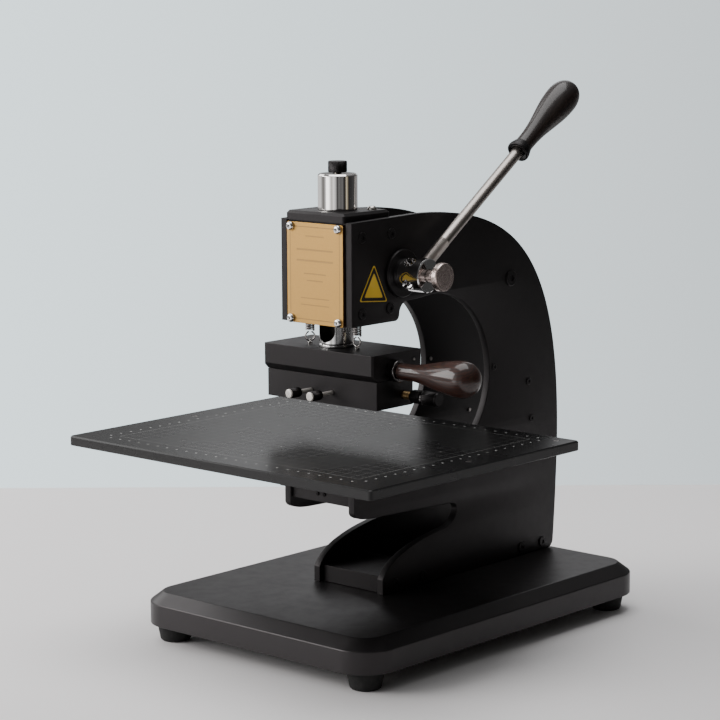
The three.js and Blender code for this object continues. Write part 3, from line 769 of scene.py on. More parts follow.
# ---------------------------------------------------------------- work table
def make_table():
    slab = block(TABLE_LOW, TABLE_HIGH, 3.0, 8)
    top_edges = edges_where(slab, lambda at, edge: at.z > TABLE_HIGH.z - 0.01)
    chamfer(slab, top_edges, 1.0)
    bottom_edges = edges_where(slab, lambda at, edge: at.z < TABLE_LOW.z + 0.01)
    chamfer(slab, bottom_edges, 0.5)
    sinks = []
    for node in TABLE_SCREWS:
        at = middle(node)
        outline = [(0, TABLE_LOW.z - 1), (1.7, TABLE_LOW.z - 1), (1.7, TABLE_HIGH.z - 2.4),
                   (2.7, TABLE_HIGH.z - 0.4), (2.7, TABLE_HIGH.z + 1), (0, TABLE_HIGH.z + 1)]
        sinks.append(aimed(spun(outline, 40), "Z", (at.x, at.y, 0)))
    piece("table_slab", carved(slab, *sinks), TABLE_TOP, "frame", ["work_table"])
    for node in TABLE_SCREWS:
        low, high = span(node)
        at = (low + high) / 2
        outline = [(0, low.z), (1.3, low.z), (1.3, high.z - 2.2), (2.4, high.z - 0.5), (2.4, high.z)]
        bm = aimed(socket_screw(outline, 1.1, 1.2), "Z", (at.x, at.y, 0))
        piece(f"{node}_head", bm, DULL_STEEL, "frame", [node], 0.12)


TABLE_SCREWS = [f"table_screw_{end}_{side}" for end in ("front", "rear") for side in ("left", "right")]


# ---------------------------------------------------------------- head
def make_head():
    body = block(HEAD_LOW, HEAD_HIGH, 0.5, 2)
    bore = aimed(spun([(0, HEAD_LOW.z - 1), (13.3, HEAD_LOW.z - 1), (13.3, HEAD_HIGH.z + 1),
                       (0, HEAD_HIGH.z + 1)], 64), "Z", (0, RAM.y, 0))
    pocket = block((-8.5, -45, HEAD_LOW.z - 1), (8.5, HEAD_HIGH.y + 1, HEAD_HIGH.z + 1))
    springs = []
    for side in (-1, 1):
        at = middle("return_spring_right")
        springs.append(aimed(spun([(0, HEAD_LOW.z - 1), (4.1, HEAD_LOW.z - 1), (4.1, 290.6),
                                   (0, 290.6)], 40), "Z", (side * at.x, at.y, 0)))
    piece("head_body", carved(body, bore, pocket, *springs), COATING, "frame",
          ["head_block"])

    cover = block(COVER_LOW, COVER_HIGH, 2.0, 5)
    chamfer(cover, edges_where(cover, lambda at, edge: at.z > COVER_HIGH.z - 0.01), 2.2)
    hole = aimed(spun([(0, 300), (8.3, 300), (8.3, 330), (0, 330)], 64), "Z", (0, RAM.y, 0))
    piece("head_cover", carved(cover, hole), COATING, "frame", ["top_cover"])
    for side in ("left", "right"):
        node = f"cover_screw_{side}"
        low, high = span(node)
        at = (low + high) / 2
        outline = [(0, COVER_HIGH.z), (3.6, COVER_HIGH.z), (3.6, COVER_HIGH.z + 0.7),
                   (3.1, COVER_HIGH.z + 1.7), (2.2, high.z)]
        bm = aimed(socket_screw(outline, 1.25, 1.3), "Z", (at.x, at.y, 0))
        piece(f"{node}_head", bm, BRIGHT_STEEL, "frame", [node], 0.15)


def make_nameplate():
    plate = block(LABEL_LOW, LABEL_HIGH)
    upright = edges_where(plate, lambda at, edge: min(abs(at.z - LABEL_LOW.z),
                                                      abs(at.z - LABEL_HIGH.z)) < 0.01)
    corners = [e for e in upright if abs(e.verts[0].co.y - e.verts[1].co.y) > 1]
    chamfer(plate, corners, 1.6, 5)
    piece("name_plate", plate, GOLD, "frame", ["nameplate"], 0.25)
    for end in ("top", "bottom"):
        for side in ("left", "right"):
            node = f"nameplate_screw_{end}_{side}"
            at = middle(node)
            outline = [(0, 0.3), (3.2, 0.3), (3.3, 1.0), (3.1, 1.8), (2.5, 2.6), (1.7, 3.0)]
            bm = aimed(socket_screw(outline, 1.15, 1.6), "-Y", (at.x, LABEL_LOW.y, at.z))
            piece(f"{node}_head", bm, CHROME, "frame", [node], 0.12)


def make_cylinder():
    low, high = CYLINDER_LOW.z, CYLINDER_HIGH.z
    outline = [(11.4, low), (14.6, low), (14.6, high - 1.3), (13.4, high), (3.4, high), (3.4, high - 5.5),
               (11.4, high - 5.5), (11.4, low)]
    bm = aimed(spun(outline, 96), "Z", (0, CYLINDER.y, 0))
    piece("cylinder", bm, CYLINDER_CHROME, "frame", ["guide_cylinder"], 0.25)
    low, high = KNOB_LOW.z, KNOB_HIGH.z
    grip = knurled(7.0, 0.28, 40, low, high, 0.5)
    piece("top_knob", aimed(grip, "Z", (0, CYLINDER.y, 0)), DARK_COATING, "adjuster",
          ["adjusting_knob"])
    stem_low, _ = span("adjusting_screw")
    outline = [(0, stem_low.z), (3, stem_low.z)]
    pitch, height = 0.8, stem_low.z + 0.6
    while height < low + 0.2:
        outline += [(3, height), (2.6, height + pitch / 2)]
        height += pitch
    outline += [(3, height), (0, height)]
    bm = aimed(spun(outline, 36), "Z", (0, CYLINDER.y, 0))
    piece("stop_screw", bm, BRIGHT_STEEL, "adjuster", ["adjusting_screw"])


# ---------------------------------------------------------------- lever, shaft and pinion
def make_bearings():
    for side, along in (("left", "-X"), ("right", "X")):
        outline = [(7.3, 29), (10, 29), (10, 35.3), (18, 35.3), (18, 37.2), (17.2, 38.2), (9, 38.2),
                   (7.3, 38.2), (7.3, 29)]
        bm = aimed(spun(outline, 80), along, SHAFT_AT)
        piece(f"bearing_ring_{side}", bm, DARK_COATING, "frame", [f"bearing_{side}"], 0.3)


def make_shaft():
    low, high = span("lever_shaft")
    outline = [(0, low.x), (6.2, low.x), (7, low.x + 0.8), (7, high.x), (0, high.x)]
    piece("shaft", aimed(spun(outline, 56), "X", SHAFT_AT), BRIGHT_STEEL, "lever",
          ["lever_shaft"], 0.2)
    outline = [(7.3, 38.6), (11, 38.6), (11, 46.5), (7.3, 46.5), (7.3, 38.6)]
    collar = aimed(spun(outline, 64), "-X", SHAFT_AT)
    screw_hole = aimed(spun([(0, 8.6), (1.6, 8.6), (1.6, 14), (0, 14)], 24), "Z",
                       (-42.5, SHAFT.y, SHAFT.z))
    piece("collar", carved(collar, screw_hole), TURNED_STEEL, "lever", ["shaft_collar"])


def make_hub():
    """Chrome hub with two cross holes and a bore for its clamp screw."""
    low, high = HUB_LOW.x, HUB_HIGH.x
    outline = [(0, low), (12.6, low), (12.6, high - 0.7), (11.9, high), (0, high)]
    hub = aimed(spun(outline, 96), "X", SHAFT_AT)
    holes = []
    for turn in (0, math.pi / 2):
        drill = spun([(0, -20), (4.75, -20), (4.75, -10.9), (4.75, 10.9), (4.75, 20), (0, 20)], 48)
        turned = Matrix.Rotation(LEVER_TILT + turn - math.pi / 2, 4, "X")
        bmesh.ops.transform(drill, matrix=Matrix.Translation((LEVER_X, SHAFT.y, SHAFT.z)) @ turned,
                            verts=drill.verts)
        holes.append(drill)
    holes.append(aimed(spun([(0, low - 1), (7.3, low - 1), (7.3, 44.6), (0, 44.6)], 48), "X", SHAFT_AT))
    holes.append(aimed(spun([(0, 55.2), (5, 55.2), (5, high + 1), (0, high + 1)], 40), "X", SHAFT_AT))
    piece("hub", carved(hub, *holes), HUB_CHROME, "lever", ["lever_hub"], 0.3)

    outline = [(0, 55.6), (4.5, 55.6), (4.5, 70.4), (5.4, 71.6), (9.6, 71.6), (10.5, 72.5), (10.5, 75.9),
               (9.9, 77), (0, 77)]
    piece("clamp_screw", aimed(spun(outline, 80), "X", SHAFT_AT), FACED_STEEL, "hub_clamp",
          ["hub_clamp_screw"], 0.15)


def make_lever():
    at = (LEVER_X, SHAFT.y, SHAFT.z)
    outline, thread = [(0, 6), (4.4, 6)], 9.0
    while thread < 37.5:
        outline += [(4.45, thread), (4.7, thread + 0.35), (4.45, thread + 0.7)]
        thread += 0.8
    bar = spun(outline + [(4.4, 38.3), (4.4, 205), (0, 205)], 48)
    piece("bar", aimed(bar, "lever", at), BAR_STEEL, "lever", ["lever_bar"], 0.3)
    outline = [(4.7, 145.3), (7.7, 143.9), (8.7, 144.3), (8.9, 145.6), (8.7, 147.6), (7.8, 150.4),
               (7.3, 152.1), (4.7, 152.1), (4.7, 145.3)]
    piece("ferrule", aimed(spun(outline, 64), "lever", at), DARK_COATING, "lever",
          ["lever_ferrule"], 0.35)
    outline = [(0, 152.4)] + curve_profile(
        [(6.9, 152.4), (6.7, 157), (6.7, 163), (7.7, 172)],
        [(7.7, 172), (9.2, 184), (12.6, 196), (12.7, 210)],
        [(12.7, 210), (12.7, 220.5), (8.6, LEVER_LENGTH), (0, LEVER_LENGTH)], points=16)
    piece("grip", aimed(spun(outline, 72), "lever", at), DARK_WOOD, "lever", ["lever_grip"])


def tooth_outline(bm, pitch_radius, count, addendum, dedendum, thickness):
    """The pinion's outline: straight-sided teeth, the first of them pointing at the rack."""
    for i in range(count):
        centre = math.pi + i * 2 * math.pi / count
        for side, height in ((-1, -dedendum), (-1, addendum), (1, addendum), (1, -dedendum)):
            half = thickness / 2 - height * math.tan(math.radians(20))
            angle = centre + side * half / (pitch_radius + height)
            bm.verts.new(((pitch_radius + height) * math.cos(angle),
                          (pitch_radius + height) * math.sin(angle), 0))
    bm.verts.ensure_lookup_table()
    return bm.faces.new(bm.verts[:])


def make_pinion():
    low, high = span("pinion")
    bm = bmesh.new()
    face = tooth_outline(bm, 18.0, 18, 1.6, 2.0, 2 * math.pi * 0.41)
    top = bmesh.ops.extrude_face_region(bm, geom=[face])
    bmesh.ops.translate(bm, vec=(0, 0, high.x - low.x), verts=verts_of(top))
    # The outline's x becomes the machine's y, its y becomes z, and its height x.
    turn = Matrix(((0, 0, 1, low.x), (1, 0, 0, SHAFT.y), (0, 1, 0, SHAFT.z), (0, 0, 0, 1)))
    bmesh.ops.transform(bm, matrix=turn, verts=bm.verts)
    bore = aimed(spun([(0, low.x - 1), (7.3, low.x - 1), (7.3, high.x + 1), (0, high.x + 1)], 48),
                 "X", SHAFT_AT)
    piece("pinion_gear", carved(bm, bore), BRIGHT_STEEL, "lever", ["pinion"])


# ---------------------------------------------------------------- ram, springs, platen
def make_ram():
    """Round bar with a flat for the rack, a turned-down neck, and a round-ended pocket in its front."""
    low, high = BAR_LOW.z, BAR_HIGH.z
    outline = [(0, low), (12.8, low), (12.8, 316), (7.6, 316), (7.6, high - 0.8), (6.8, high), (0, high)]
    bar = aimed(spun(outline, 96), "Z", (0, RAM.y, 0))
    rear = block((-20, BAR_HIGH.y, low - 1), (20, BAR_HIGH.y + 20, high + 1))
    width, depth = 7.8, 14.0
    front, floor = RAM.y - 14, RAM.y - 12.8 + depth
    centre = low + 1 + width
    slot = block((-width, front, centre), (width, floor, low + 28.7))
    round_end = aimed(spun([(0, 0), (width, 0), (width, floor - front), (0, floor - front)], 64), "-Y",
                      (0, floor, centre))
    piece("ram_body", carved(bar, rear, slot, round_end), RAM_CHROME, "ram", ["ram_bar"], 0.5)
    show_rack()
    low, high = FLANGE_LOW.z, FLANGE_HIGH.z
    outline = [(0, low), (13.1, low), (13.1, high - 0.8), (12.4, high), (0, high)]
    piece("flange", aimed(spun(outline, 96), "Z", (0, RAM.y, 0)), RAM_CHROME, "ram",
          ["ram_flange"], 0.25)


def show_rack():
    """The rack keeps its CAD teeth and gets the visual model's steel."""
    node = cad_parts["ram_rack"]
    node.data.materials.clear()
    node.data.materials.append(BRIGHT_STEEL)


def coil(radius, wire, low, high, turns, per_turn=22, ring=10):
    """A close-wound helical spring on the Z axis."""
    steps = int(turns * per_turn)
    bm = bmesh.new()
    bmesh.ops.create_circle(bm, segments=ring, radius=wire)
    bmesh.ops.rotate(bm, verts=bm.verts, cent=(0, 0, 0), matrix=Matrix.Rotation(math.pi / 2, 3, "X"))
    bmesh.ops.translate(bm, vec=(radius, 0, low), verts=bm.verts)
    start = bm.edges[:]
    end = bmesh.ops.spin(bm, geom=bm.verts[:] + start, cent=(0, 0, 0), axis=(0, 0, 1),
                         dvec=(0, 0, (high - low) / steps), angle=2 * math.pi * turns, steps=steps)
    last = [item for item in end["geom_last"] if isinstance(item, bmesh.types.BMEdge)]
    for loop in (start, last):
        bmesh.ops.edgeloop_fill(bm, edges=loop)
    return bm


def eye(wire, radius, height, turn, sweep=330):
    """A ring of wire round a level axis, with a small opening near its top."""
    bm = bmesh.new()
    bmesh.ops.create_circle(bm, segments=12, radius=wire)
    bmesh.ops.rotate(bm, verts=bm.verts, cent=(0, 0, 0), matrix=Matrix.Rotation(math.pi / 2, 3, "X"))
    bmesh.ops.translate(bm, vec=(radius, 0, 0), verts=bm.verts)
    start = bm.edges[:]
    end = bmesh.ops.spin(bm, geom=bm.verts[:] + start, cent=(0, 0, 0), axis=(0, 0, 1),
                         angle=math.radians(sweep), steps=40)
    last = [item for item in end["geom_last"] if isinstance(item, bmesh.types.BMEdge)]
    for loop in (start, last):
        bmesh.ops.edgeloop_fill(bm, edges=loop)
    for angle, axis in ((math.radians(105), "Z"), (math.pi / 2, "X"), (turn, "Z")):
        bmesh.ops.rotate(bm, verts=bm.verts, cent=(0, 0, 0), matrix=Matrix.Rotation(angle, 3, axis))
    bmesh.ops.translate(bm, vec=(0, 0, height), verts=bm.verts)
    return bm


def make_springs():
    """Close-wound springs; each hangs by a large eye from a staple on the platen."""
    eye_wire, eye_radius = 0.6, 3.4
    for side, turn in (("left", math.radians(42)), ("right", 0.0)):
        node = f"return_spring_{side}"
        low, high = span(node)
        at = (low + high) / 2
        body = aimed(coil(3.05, 0.52, low.z + 8.4, high.z - 0.6, 44), "Z", (at.x, at.y, 0))
        spring = spring_piece(f"spring_{side}", body)
        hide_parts(node)
        hook = eye(eye_wire, eye_radius, low.z + eye_radius + eye_wire, turn)
        piece(f"spring_hook_{side}", aimed(hook, "Z", (at.x, at.y, 0)), SPRING_STEEL, "ram", ())
        anchor = f"spring_anchor_{side}"
        foot, head = span(anchor)
        button = spun([(0, foot.z), (1.8, foot.z), (1.8, head.z - 0.3), (1.5, head.z), (0, head.z)], 40)
        staple = eye(0.35, 1.25, low.z + eye_wire, turn + math.pi / 2, 359)
        piece(f"{anchor}_staple", aimed(merged(button, staple), "Z", (at.x, at.y, 0)), BRIGHT_STEEL, "ram",
              [anchor])


def spring_piece(name, bm):
    """A spring as one smooth-shaded object in metres, its transform baked in; it joins no body."""
    bmesh.ops.recalc_face_normals(bm, faces=bm.faces)
    bmesh.ops.scale(bm, vec=(MM, MM, MM), verts=bm.verts)
    for face in bm.faces:
        face.smooth = True
    mesh = bpy.data.meshes.new(name)
    bm.to_mesh(mesh)
    bm.free()
    mesh.materials.append(SPRING_STEEL)
    obj = bpy.data.objects.new(name, mesh)
    bpy.context.collection.objects.link(obj)
    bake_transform(obj)
    return obj


def make_platen():
    """Upper block with its front lower edge cut back and the dovetail tongue under it."""
    body = block(PLATEN_LOW.xy.to_3d() + Vector((0, 0, DOVETAIL["top"])), PLATEN_HIGH)
    front = PLATEN_LOW.y
    lower = edges_where(body, lambda at, edge: at.z < DOVETAIL["top"] + 0.01 and at.y < front + 0.01)
    chamfer(body, lower, 4.5)
    upright = edges_where(body, lambda at, edge: at.y < front + 0.1 and abs(
        edge.verts[0].co.z - edge.verts[1].co.z) > 8)
    chamfer(body, upright, 1.4)
    piece("platen_block", body, COATING, "ram", ["platen"], 0.35)
    head = spun([(0, -0.2), (1.2, -0.2), (1.2, 0.4), (0.8, 0.7), (0, 0.7)], 24)
    piece("platen_side_screw", aimed(head, "X", (PLATEN_HIGH.x, -24.9, 217.1)), DULL_STEEL, "ram",
          (), 0.1)
    piece("platen_tongue", dovetail(0, -60.1, -26.2, PLATEN_LOW.z, DOVETAIL["top"]), BRIGHT_STEEL,
          "ram", (), 0.2)


def dovetail(clear, front, rear, low, high):
    """A bar that widens downwards, running front to back."""
    slope = (DOVETAIL["foot"] - DOVETAIL["neck"]) / (DOVETAIL["top"] - DOVETAIL["bottom"])
    bm = block((-1, front, low), (1, rear, high))
    for vert in bm.verts:
        half = DOVETAIL["neck"] + clear + (DOVETAIL["top"] - vert.co.z) * slope
        vert.co.x = math.copysign(half, vert.co.x)
    return bm


def make_die_holder():
    body = block(HOLDER_LOW, HOLDER_HIGH, 0.4, 2)
    slot = dovetail(0.35, -60.4, HOLDER_HIGH.y + 2, DOVETAIL["bottom"] - 0.3, HOLDER_HIGH.z + 1)
    bores = [aimed(spun([(0, 0), (1.9, 0), (1.9, 8), (0, 8)], 32), "-Y",
                   (middle(f"thumb_screw_{side}").x, -59.0, middle("thumb_screw_left").z))
             for side in ("left", "right")]
    bores.append(aimed(spun([(0, 17), (3.2, 17), (3.2, 60), (0, 60)], 40), "X", (0, LOCK.y, LOCK.z)))
    piece("holder_block", carved(body, slot, *bores), COATING, "die_carrier",
          ["die_holder"], 0.3)


def make_thumb_screws():
    for side in ("left", "right"):
        node = f"thumb_screw_{side}"
        low, high = span(node)
        at = (low + high) / 2
        length = high.y - low.y
        stem = aimed(spun([(0, 0), (1.6, 0), (1.6, length - 0.6), (0, length - 0.6)], 36), "-Y",
                     (at.x, high.y, at.z))
        piece(f"{node}_stem", stem, LIT_THUMB_STEEL, f"thumb_{side}", [node], 0.15)
        head = aimed(knurled(3.7, 0.2, 24, length - 11.5, length - 1.4, 0.4), "-Y", (at.x, high.y, at.z))
        piece(f"{node}_knurl", head, DARK_COATING, f"thumb_{side}")
        face = aimed(spun([(0, length - 1.4), (3.4, length - 1.4), (3.4, length - 0.7), (2.9, length - 0.2),
                           (1.6, length), (0, length)], 48), "-Y", (at.x, high.y, at.z))
        piece(f"{node}_face", face, LIT_THUMB_STEEL, f"thumb_{side}", (), 0.1)


def make_lock():
    at = (0, LOCK.y, LOCK.z)
    low, high = span("die_lock_screw")
    outline = [(0, low.x), (2.4, low.x), (2.9, low.x + 0.6)]
    place = 55.6
    outline.append((2.9, place))
    while place < 62.0:
        outline += [(2.55, place + 0.35), (2.9, place + 0.7)]
        place += 0.7
    outline += [(2.9, high.x), (0, high.x)]
    piece("lock_stem", aimed(spun(outline, 40), "X", at), BRASS, "die_lock",
          ["die_lock_screw"])
    nut = prism(5.3, 6, 62.8, 71.9)
    chamfer(nut, edges_where(nut, lambda p, e: p.z < 62.81 or p.z > 71.89), 0.5)
    bore = spun([(0, 60), (3.2, 60), (3.2, 75), (0, 75)], 36)
    piece("lock_nut", aimed(carved(nut, bore), "X", at), DARK_COATING, "die_carrier",
          ["die_lock_nut"], 0.15)
    knob = knurled(5.4, 0.22, 32, 74.4, 86.4, 0.4)
    piece("lock_knob", aimed(knob, "X", at), DARK_COATING, "die_lock", ["die_lock_knob"])
    ring = spun([(3.2, 72.4), (4.6, 72.4), (5.0, 72.9), (5.0, 74.3), (3.2, 74.3), (3.2, 72.4)], 48)
    piece("lock_ring", aimed(ring, "X", at), SHADED_CHROME, "die_lock", (), 0.15)
    face = spun([(0, 86.5), (5.0, 86.5), (5.2, 87.2), (4.7, 88), (0, 88)], 48)
    piece("lock_face", aimed(face, "X", at), DARK_COATING, "die_lock", (), 0.12)


def make_side_handle():
    at = (0, HANDLE.y, HANDLE.z)
    low, high = span("side_handle_collar")
    outline = [(3.4, low.x), (8.0, low.x), (8.0, high.x - 1.6), (8.2, high.x - 1.2), (8.2, high.x - 0.4),
               (7.8, high.x), (3.4, high.x), (3.4, low.x)]
    piece("handle_collar", aimed(spun(outline, 72), "X", at), SHADED_CHROME, "ram",
          ["side_handle_collar"], 0.2)
    low, high = span("side_handle_stud")
    piece("handle_stud", aimed(spun([(0, low.x), (3.1, low.x), (3.1, high.x), (0, high.x)], 40), "X", at),
          BRIGHT_STEEL, "ram", ["side_handle_stud"], 0.3)
    low, high = span("side_handle_grip")
    outline = [(3.4, 98.3), (3.4, low.x)] + curve_profile(
        [(5.6, low.x), (6.3, low.x + 0.5), (5.8, low.x + 6), (6.1, low.x + 13)],
        [(6.1, low.x + 13), (7.2, low.x + 25), (12.0, low.x + 38), (13.3, high.x - 17)],
        [(13.3, high.x - 17), (13.4, high.x - 15.5), (13.4, high.x - 14), (13.4, high.x - 13.4)],
        [(13.4, high.x - 13.4), (13.4, high.x - 6), (7.4, high.x), (0, high.x)], points=14)
    outline = [(0, 98.3)] + outline
    piece("handle_grip", aimed(spun(outline, 72), "X", at), RED_WOOD, "side_handle",
          ["side_handle_grip"])


def make_hazard_triangle():
    """A plain yellow triangle in a dark border on the head's right side, with nothing printed on it."""
    centre = Vector((-47.1, 268.9))
    corners = [Vector(c) for c in ((-46.6, 284.6), (-60.5, 262.2), (-34.2, 259.9))]
    for name, grow, thickness, look, slot in (("rim", 1.16, 0.25, LABEL_YELLOW, "brass"),
                                              ("border", 1.07, 0.3, DARK_COATING, "black_paint"),
                                              ("field", 0.77, 0.35, LABEL_YELLOW, "brass")):
        bm = bmesh.new()
        bm.faces.new([bm.verts.new((0, *(centre + (corner - centre) * grow))) for corner in corners])
        bmesh.ops.bevel(bm, geom=bm.verts[:], offset=1.8 * grow, segments=6, profile=0.5,
                        affect="VERTICES", material=-1)
        solid = bmesh.ops.extrude_face_region(bm, geom=bm.faces[:])
        bmesh.ops.translate(bm, vec=(thickness, 0, 0), verts=verts_of(solid))
        bmesh.ops.translate(bm, vec=(PLATE_HIGH.x, 0, 0), verts=bm.verts)
        piece(f"hazard_{name}", bm, look, "frame")


# ---------------------------------------------------------------- screws of the side plates
def make_plate_screws():
    heads = {"small": ([(0, 0.1), (2.9, 0.1), (2.9, 0.5), (2.6, 0.8)], 1.3, 0.6),
             "medium": ([(0, 0.1), (4.1, 0.1), (4.1, 0.6), (3.7, 1.0)], 1.8, 0.7),
             "large": ([(0, 0.1), (6.2, 0.1), (6.2, 0.7), (5.7, 1.2)], 2.6, 0.9)}
    places = [("medium", -59.4, 307.5), ("medium", -27.4, 308.0), ("medium", -59.7, 251.7),
              ("medium", -29.0, 253.2), ("large", 113.5, 262.0),
              ("small", 93.1, 194.9), ("small", 136.5, 178.0), ("small", 140.8, 147.9),
              ("medium", -24.0, 45.0), ("medium", 8.0, 45.0), ("medium", 129.0, 45.2),
              ("medium", 155.4, 45.2)]
    plate = PLATE_HIGH.x
    for side, along in (("left", "-X"), ("right", "X")):
        for number, (size, y, z) in enumerate(places, 1):
            profile, hexagon, depth = heads[size]
            head = socket_screw([(r, h + plate) for r, h in profile], hexagon, depth, 36)
            piece(f"plate_screw_{side}_{number}", aimed(head, along, (0, y, z)), DARK_COATING, "frame",
                  (), 0.15)
        for number, (y, z) in enumerate([(-62.9, 128), (-54.9, 128)], 1):
            profile, hexagon, depth = heads["medium"]
            head = socket_screw([(r * 0.8, h + plate + 5.3) for r, h in profile], 1.3, 0.7, 36)
            piece(f"bracket_screw_{side}_{number}", aimed(head, along, (0, y, z)), DARK_COATING,
                  "frame", (), 0.15)
    for number, (y, z) in enumerate([(141.2, 147.3), (92.6, 194.9)], 1):
        for side, along in (("left", "X"), ("right", "-X")):
            end = spun([(0, -1), (1.5, -1), (1.5, 0.3), (1.1, 0.7), (0, 0.7)], 24)
            bmesh.ops.translate(end, vec=(0, 0, PLATE_LOW.x), verts=end.verts)
            piece(f"screw_end_{side}_{number}", aimed(end, along, (0, y, z)), DULL_STEEL, "frame",
                  (), 0.1)
    low, _ = span("table_cross_plate")
    for side, x in (("left", -3.3), ("right", 3.3)):
        head = socket_screw([(0, 0), (1.5, 0), (1.5, 0.6), (1.2, 0.9)], 0.7, 0.6, 24)
        piece(f"cross_plate_screw_{side}", aimed(head, "-Y", (x, low.y - 0.2, low.z + 6.0)), DARK_COATING,
              "frame", (), 0.1)


make_base()
make_feet()
make_side_plates()
make_cross_blocks()
make_brackets()
make_table()
make_head()
make_nameplate()
make_cylinder()
make_bearings()
make_shaft()
make_hub()
make_lever()
make_pinion()
make_ram()
make_springs()
make_platen()
make_die_holder()
make_thumb_screws()
make_lock()
make_side_handle()
make_hazard_triangle()
make_plate_screws()


# ---------------------------------------------------------------- studio
# Turn of the viewer round the machine, and how far behind the machine's centre the bench ends, in metres.
VIEW_TURN = math.radians(42.0)
FLOOR_END = 0.52
FLOOR_SIZE = (2.2, 1.5)
VIEW_PITCH = math.radians(90 - 8.85)
VIEW_ROLL = math.radians(-0.29)
VIEW_PLACE = (1.1626, -1.3189, 0.4851)


def flat_finish(name, colour, roughness):
    finish = Finish(name, Specular_IOR_Level=0.2)
    here = finish.placed()
    finish.feed(Base_Color=finish.blend(finish.noise(here, 300, 2), rgb(*[c * 0.97 for c in colour]),
                                        rgb(*colour)), Roughness=roughness)
    return finish.material


def make_floor():
    """A pale bench top that ends behind the object, where the pale wall begins."""
    bm = bmesh.new()
    bmesh.ops.create_grid(bm, x_segments=1, y_segments=1, size=0.5)
    bmesh.ops.scale(bm, vec=(*FLOOR_SIZE, 1), verts=bm.verts)
    bmesh.ops.translate(bm, vec=(0, FLOOR_END - FLOOR_SIZE[1] / 2, 0), verts=bm.verts)
    bmesh.ops.rotate(bm, verts=bm.verts, cent=(0, 0, 0), matrix=Matrix.Rotation(VIEW_TURN, 3, "Z"))
    mesh = bpy.data.meshes.new("floor")
    bm.to_mesh(mesh)
    bm.free()
    mesh.materials.append(flat_finish("bench", (0.87, 0.85, 0.855), 0.6))
    floor = bpy.data.objects.new("floor", mesh)
    bpy.context.collection.objects.link(floor)


def softbox(name, place, target, size, power, colour=(1, 1, 1)):
    light = bpy.data.lights.new(name, "AREA")
    light.shape = "RECTANGLE"
    light.size, light.size_y = size
    light.energy = power
    light.color = colour
    obj = bpy.data.objects.new(name, light)
    obj.location = place
    obj.rotation_euler = (Vector(target) - Vector(place)).to_track_quat("-Z", "Y").to_euler()
    bpy.context.collection.objects.link(obj)
    return obj


def make_lights():
    softbox("key", (-1.5, -1.6, 1.1), (0, 0, 0.2), (1.6, 1.4), 50, (1, 0.985, 0.97))
    softbox("side", (-1.3, -0.1, 0.9), (-0.5, -0.3, 0), (1.0, 1.0), 8)
    softbox("top", (-0.2, 0.1, 2.2), (0, 0, 0.2), (1.8, 1.8), 36)
    softbox("back", (-1.2, 1.7, 1.3), (0, 0, 0.2), (1.2, 1.2), 5, (0.97, 0.98, 1))


# What the object reflects all round it at eye level: degrees to the right of the viewer's side, colour.
# Left of the viewer stand a window and its curtains, to the right a dark room with one warm lamp.
ROOM = [(-180, 0.8, 0), (-118, 1.0, 0), (-104, 0.5, 0), (-93, 0.2, 0.1), (-82, 0.42, 0), (-73, 0.9, 0),
        (-68, 3.6, 0), (-53, 3.4, 0), (-43, 1.2, 0), (-33, 0.7, 0.1), (-25, 1.4, 0), (-15, 0.9, 0),
        (-7, 0.3, 0), (-1, 0.03, 0), (6, 0.2, 0), (20, 0.13, 0), (27, 0.2, 0), (38, 0.03, 0),
        (47, 0.06, 0.3), (52, 0.8, 0.4), (58, 0.4, 0.5), (66, 0.03, 0), (90, 0.05, 0), (112, 0.08, 0),
        (125, 0.22, 0), (140, 0.34, 0), (180, 0.45, 0)]


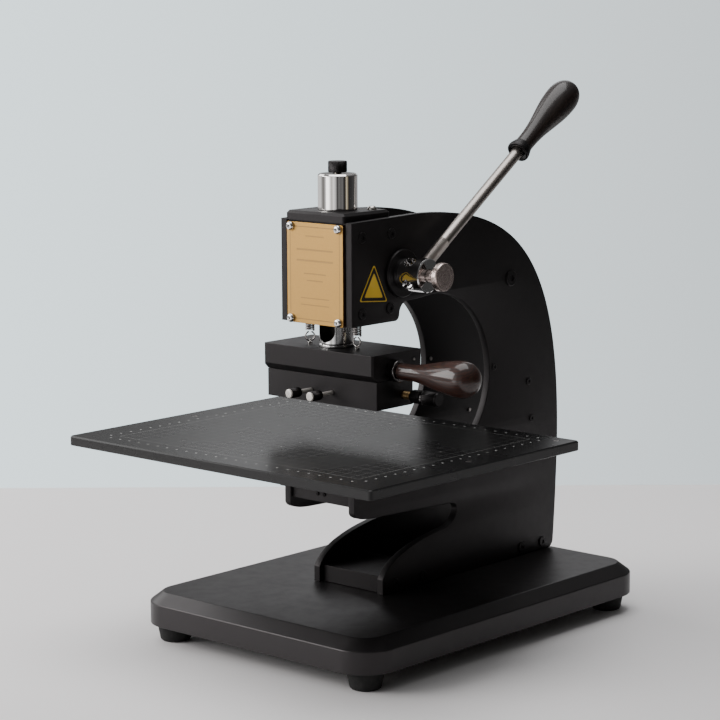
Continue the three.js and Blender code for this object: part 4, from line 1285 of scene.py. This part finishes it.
def make_world():
    """A pale wall to look at, its painted light brighter on the left and dimmer to the right, and a room with
    bright and dark sides for the object to reflect.
    """
    world = bpy.data.worlds.new("room")
    bpy.context.scene.world = world
    world.use_nodes = True
    nodes, links = world.node_tree.nodes, world.node_tree.links
    nodes.clear()

    def maths(operation, *values):
        node = nodes.new("ShaderNodeMath")
        node.operation = operation
        for socket, value in zip(node.inputs, values):
            if isinstance(value, bpy.types.NodeSocket):
                links.new(value, socket)
            else:
                socket.default_value = value
        return node.outputs[0]

    def mixed(factor, first, second, mode="MIX"):
        node = nodes.new("ShaderNodeMix")
        node.data_type = "RGBA"
        node.blend_type = mode
        links.new(factor, node.inputs[0])
        for socket, value in ((node.inputs[6], first), (node.inputs[7], second)):
            if isinstance(value, bpy.types.NodeSocket):
                links.new(value, socket)
            else:
                socket.default_value = value
        return node.outputs[2]

    def ranged(value, low, high):
        node = nodes.new("ShaderNodeMapRange")
        links.new(value, node.inputs["Value"])
        node.inputs["From Min"].default_value = low
        node.inputs["From Max"].default_value = high
        return node.outputs[0]

    direction = nodes.new("ShaderNodeTexCoord")
    turn = nodes.new("ShaderNodeMapping")
    turn.inputs["Rotation"].default_value = (0, 0, -VIEW_TURN)
    links.new(direction.outputs["Generated"], turn.inputs["Vector"])
    parts = nodes.new("ShaderNodeSeparateXYZ")
    links.new(turn.outputs[0], parts.inputs[0])
    across, away, up = parts.outputs

    angle = maths("ARCTAN2", across, maths("MULTIPLY", away, -1))
    ramp = nodes.new("ShaderNodeValToRGB")
    stops = ramp.color_ramp.elements
    while len(stops) < len(ROOM):
        stops.new(1.0)
    for stop, (degrees, tone, warmth) in zip(stops, ROOM):
        stop.position = (degrees + 180) / 360
        stop.color = rgb(tone, tone * (1 - 0.25 * warmth), tone * (1 - 0.8 * warmth))
    links.new(maths("ADD", maths("DIVIDE", angle, 2 * math.pi), 0.5), ramp.inputs[0])
    room = nodes.new("ShaderNodeBackground")
    shaded = mixed(ranged(up, -0.08, 0.08), ramp.outputs[0], rgb(0.3, 0.3, 0.3), "MULTIPLY")
    ceiling = mixed(ranged(up, 0.35, 0.8), shaded, rgb(0.22, 0.22, 0.22))
    links.new(ceiling, room.inputs["Color"])

    # Painted light: only the camera sees this wall, and its glow falls from bright on the left to dim on the
    # right.
    wall = nodes.new("ShaderNodeBackground")
    links.new(mixed(ranged(across, -0.2, 0.2), rgb(1.5, 1.75, 1.83), rgb(0.86, 0.93, 0.96)),
              wall.inputs["Color"])
    ray = nodes.new("ShaderNodeLightPath")
    mix = nodes.new("ShaderNodeMixShader")
    out = nodes.new("ShaderNodeOutputWorld")
    links.new(ray.outputs["Is Camera Ray"], mix.inputs[0])
    links.new(room.outputs[0], mix.inputs[1])
    links.new(wall.outputs[0], mix.inputs[2])
    links.new(mix.outputs[0], out.inputs[0])


def make_camera():
    data = bpy.data.cameras.new("camera")
    data.sensor_width = 36
    data.lens = 118.03
    data.shift_x = 0.0057
    data.shift_y = -0.0063
    data.clip_end = 20
    camera = bpy.data.objects.new("camera", data)
    turn = (Matrix.Rotation(VIEW_TURN, 4, "Z") @ Matrix.Rotation(VIEW_PITCH, 4, "X")
            @ Matrix.Rotation(VIEW_ROLL, 4, "Z"))
    camera.matrix_world = Matrix.Translation(VIEW_PLACE) @ turn
    bpy.context.collection.objects.link(camera)
    bpy.context.scene.camera = camera


make_floor()
make_lights()
make_world()
make_camera()
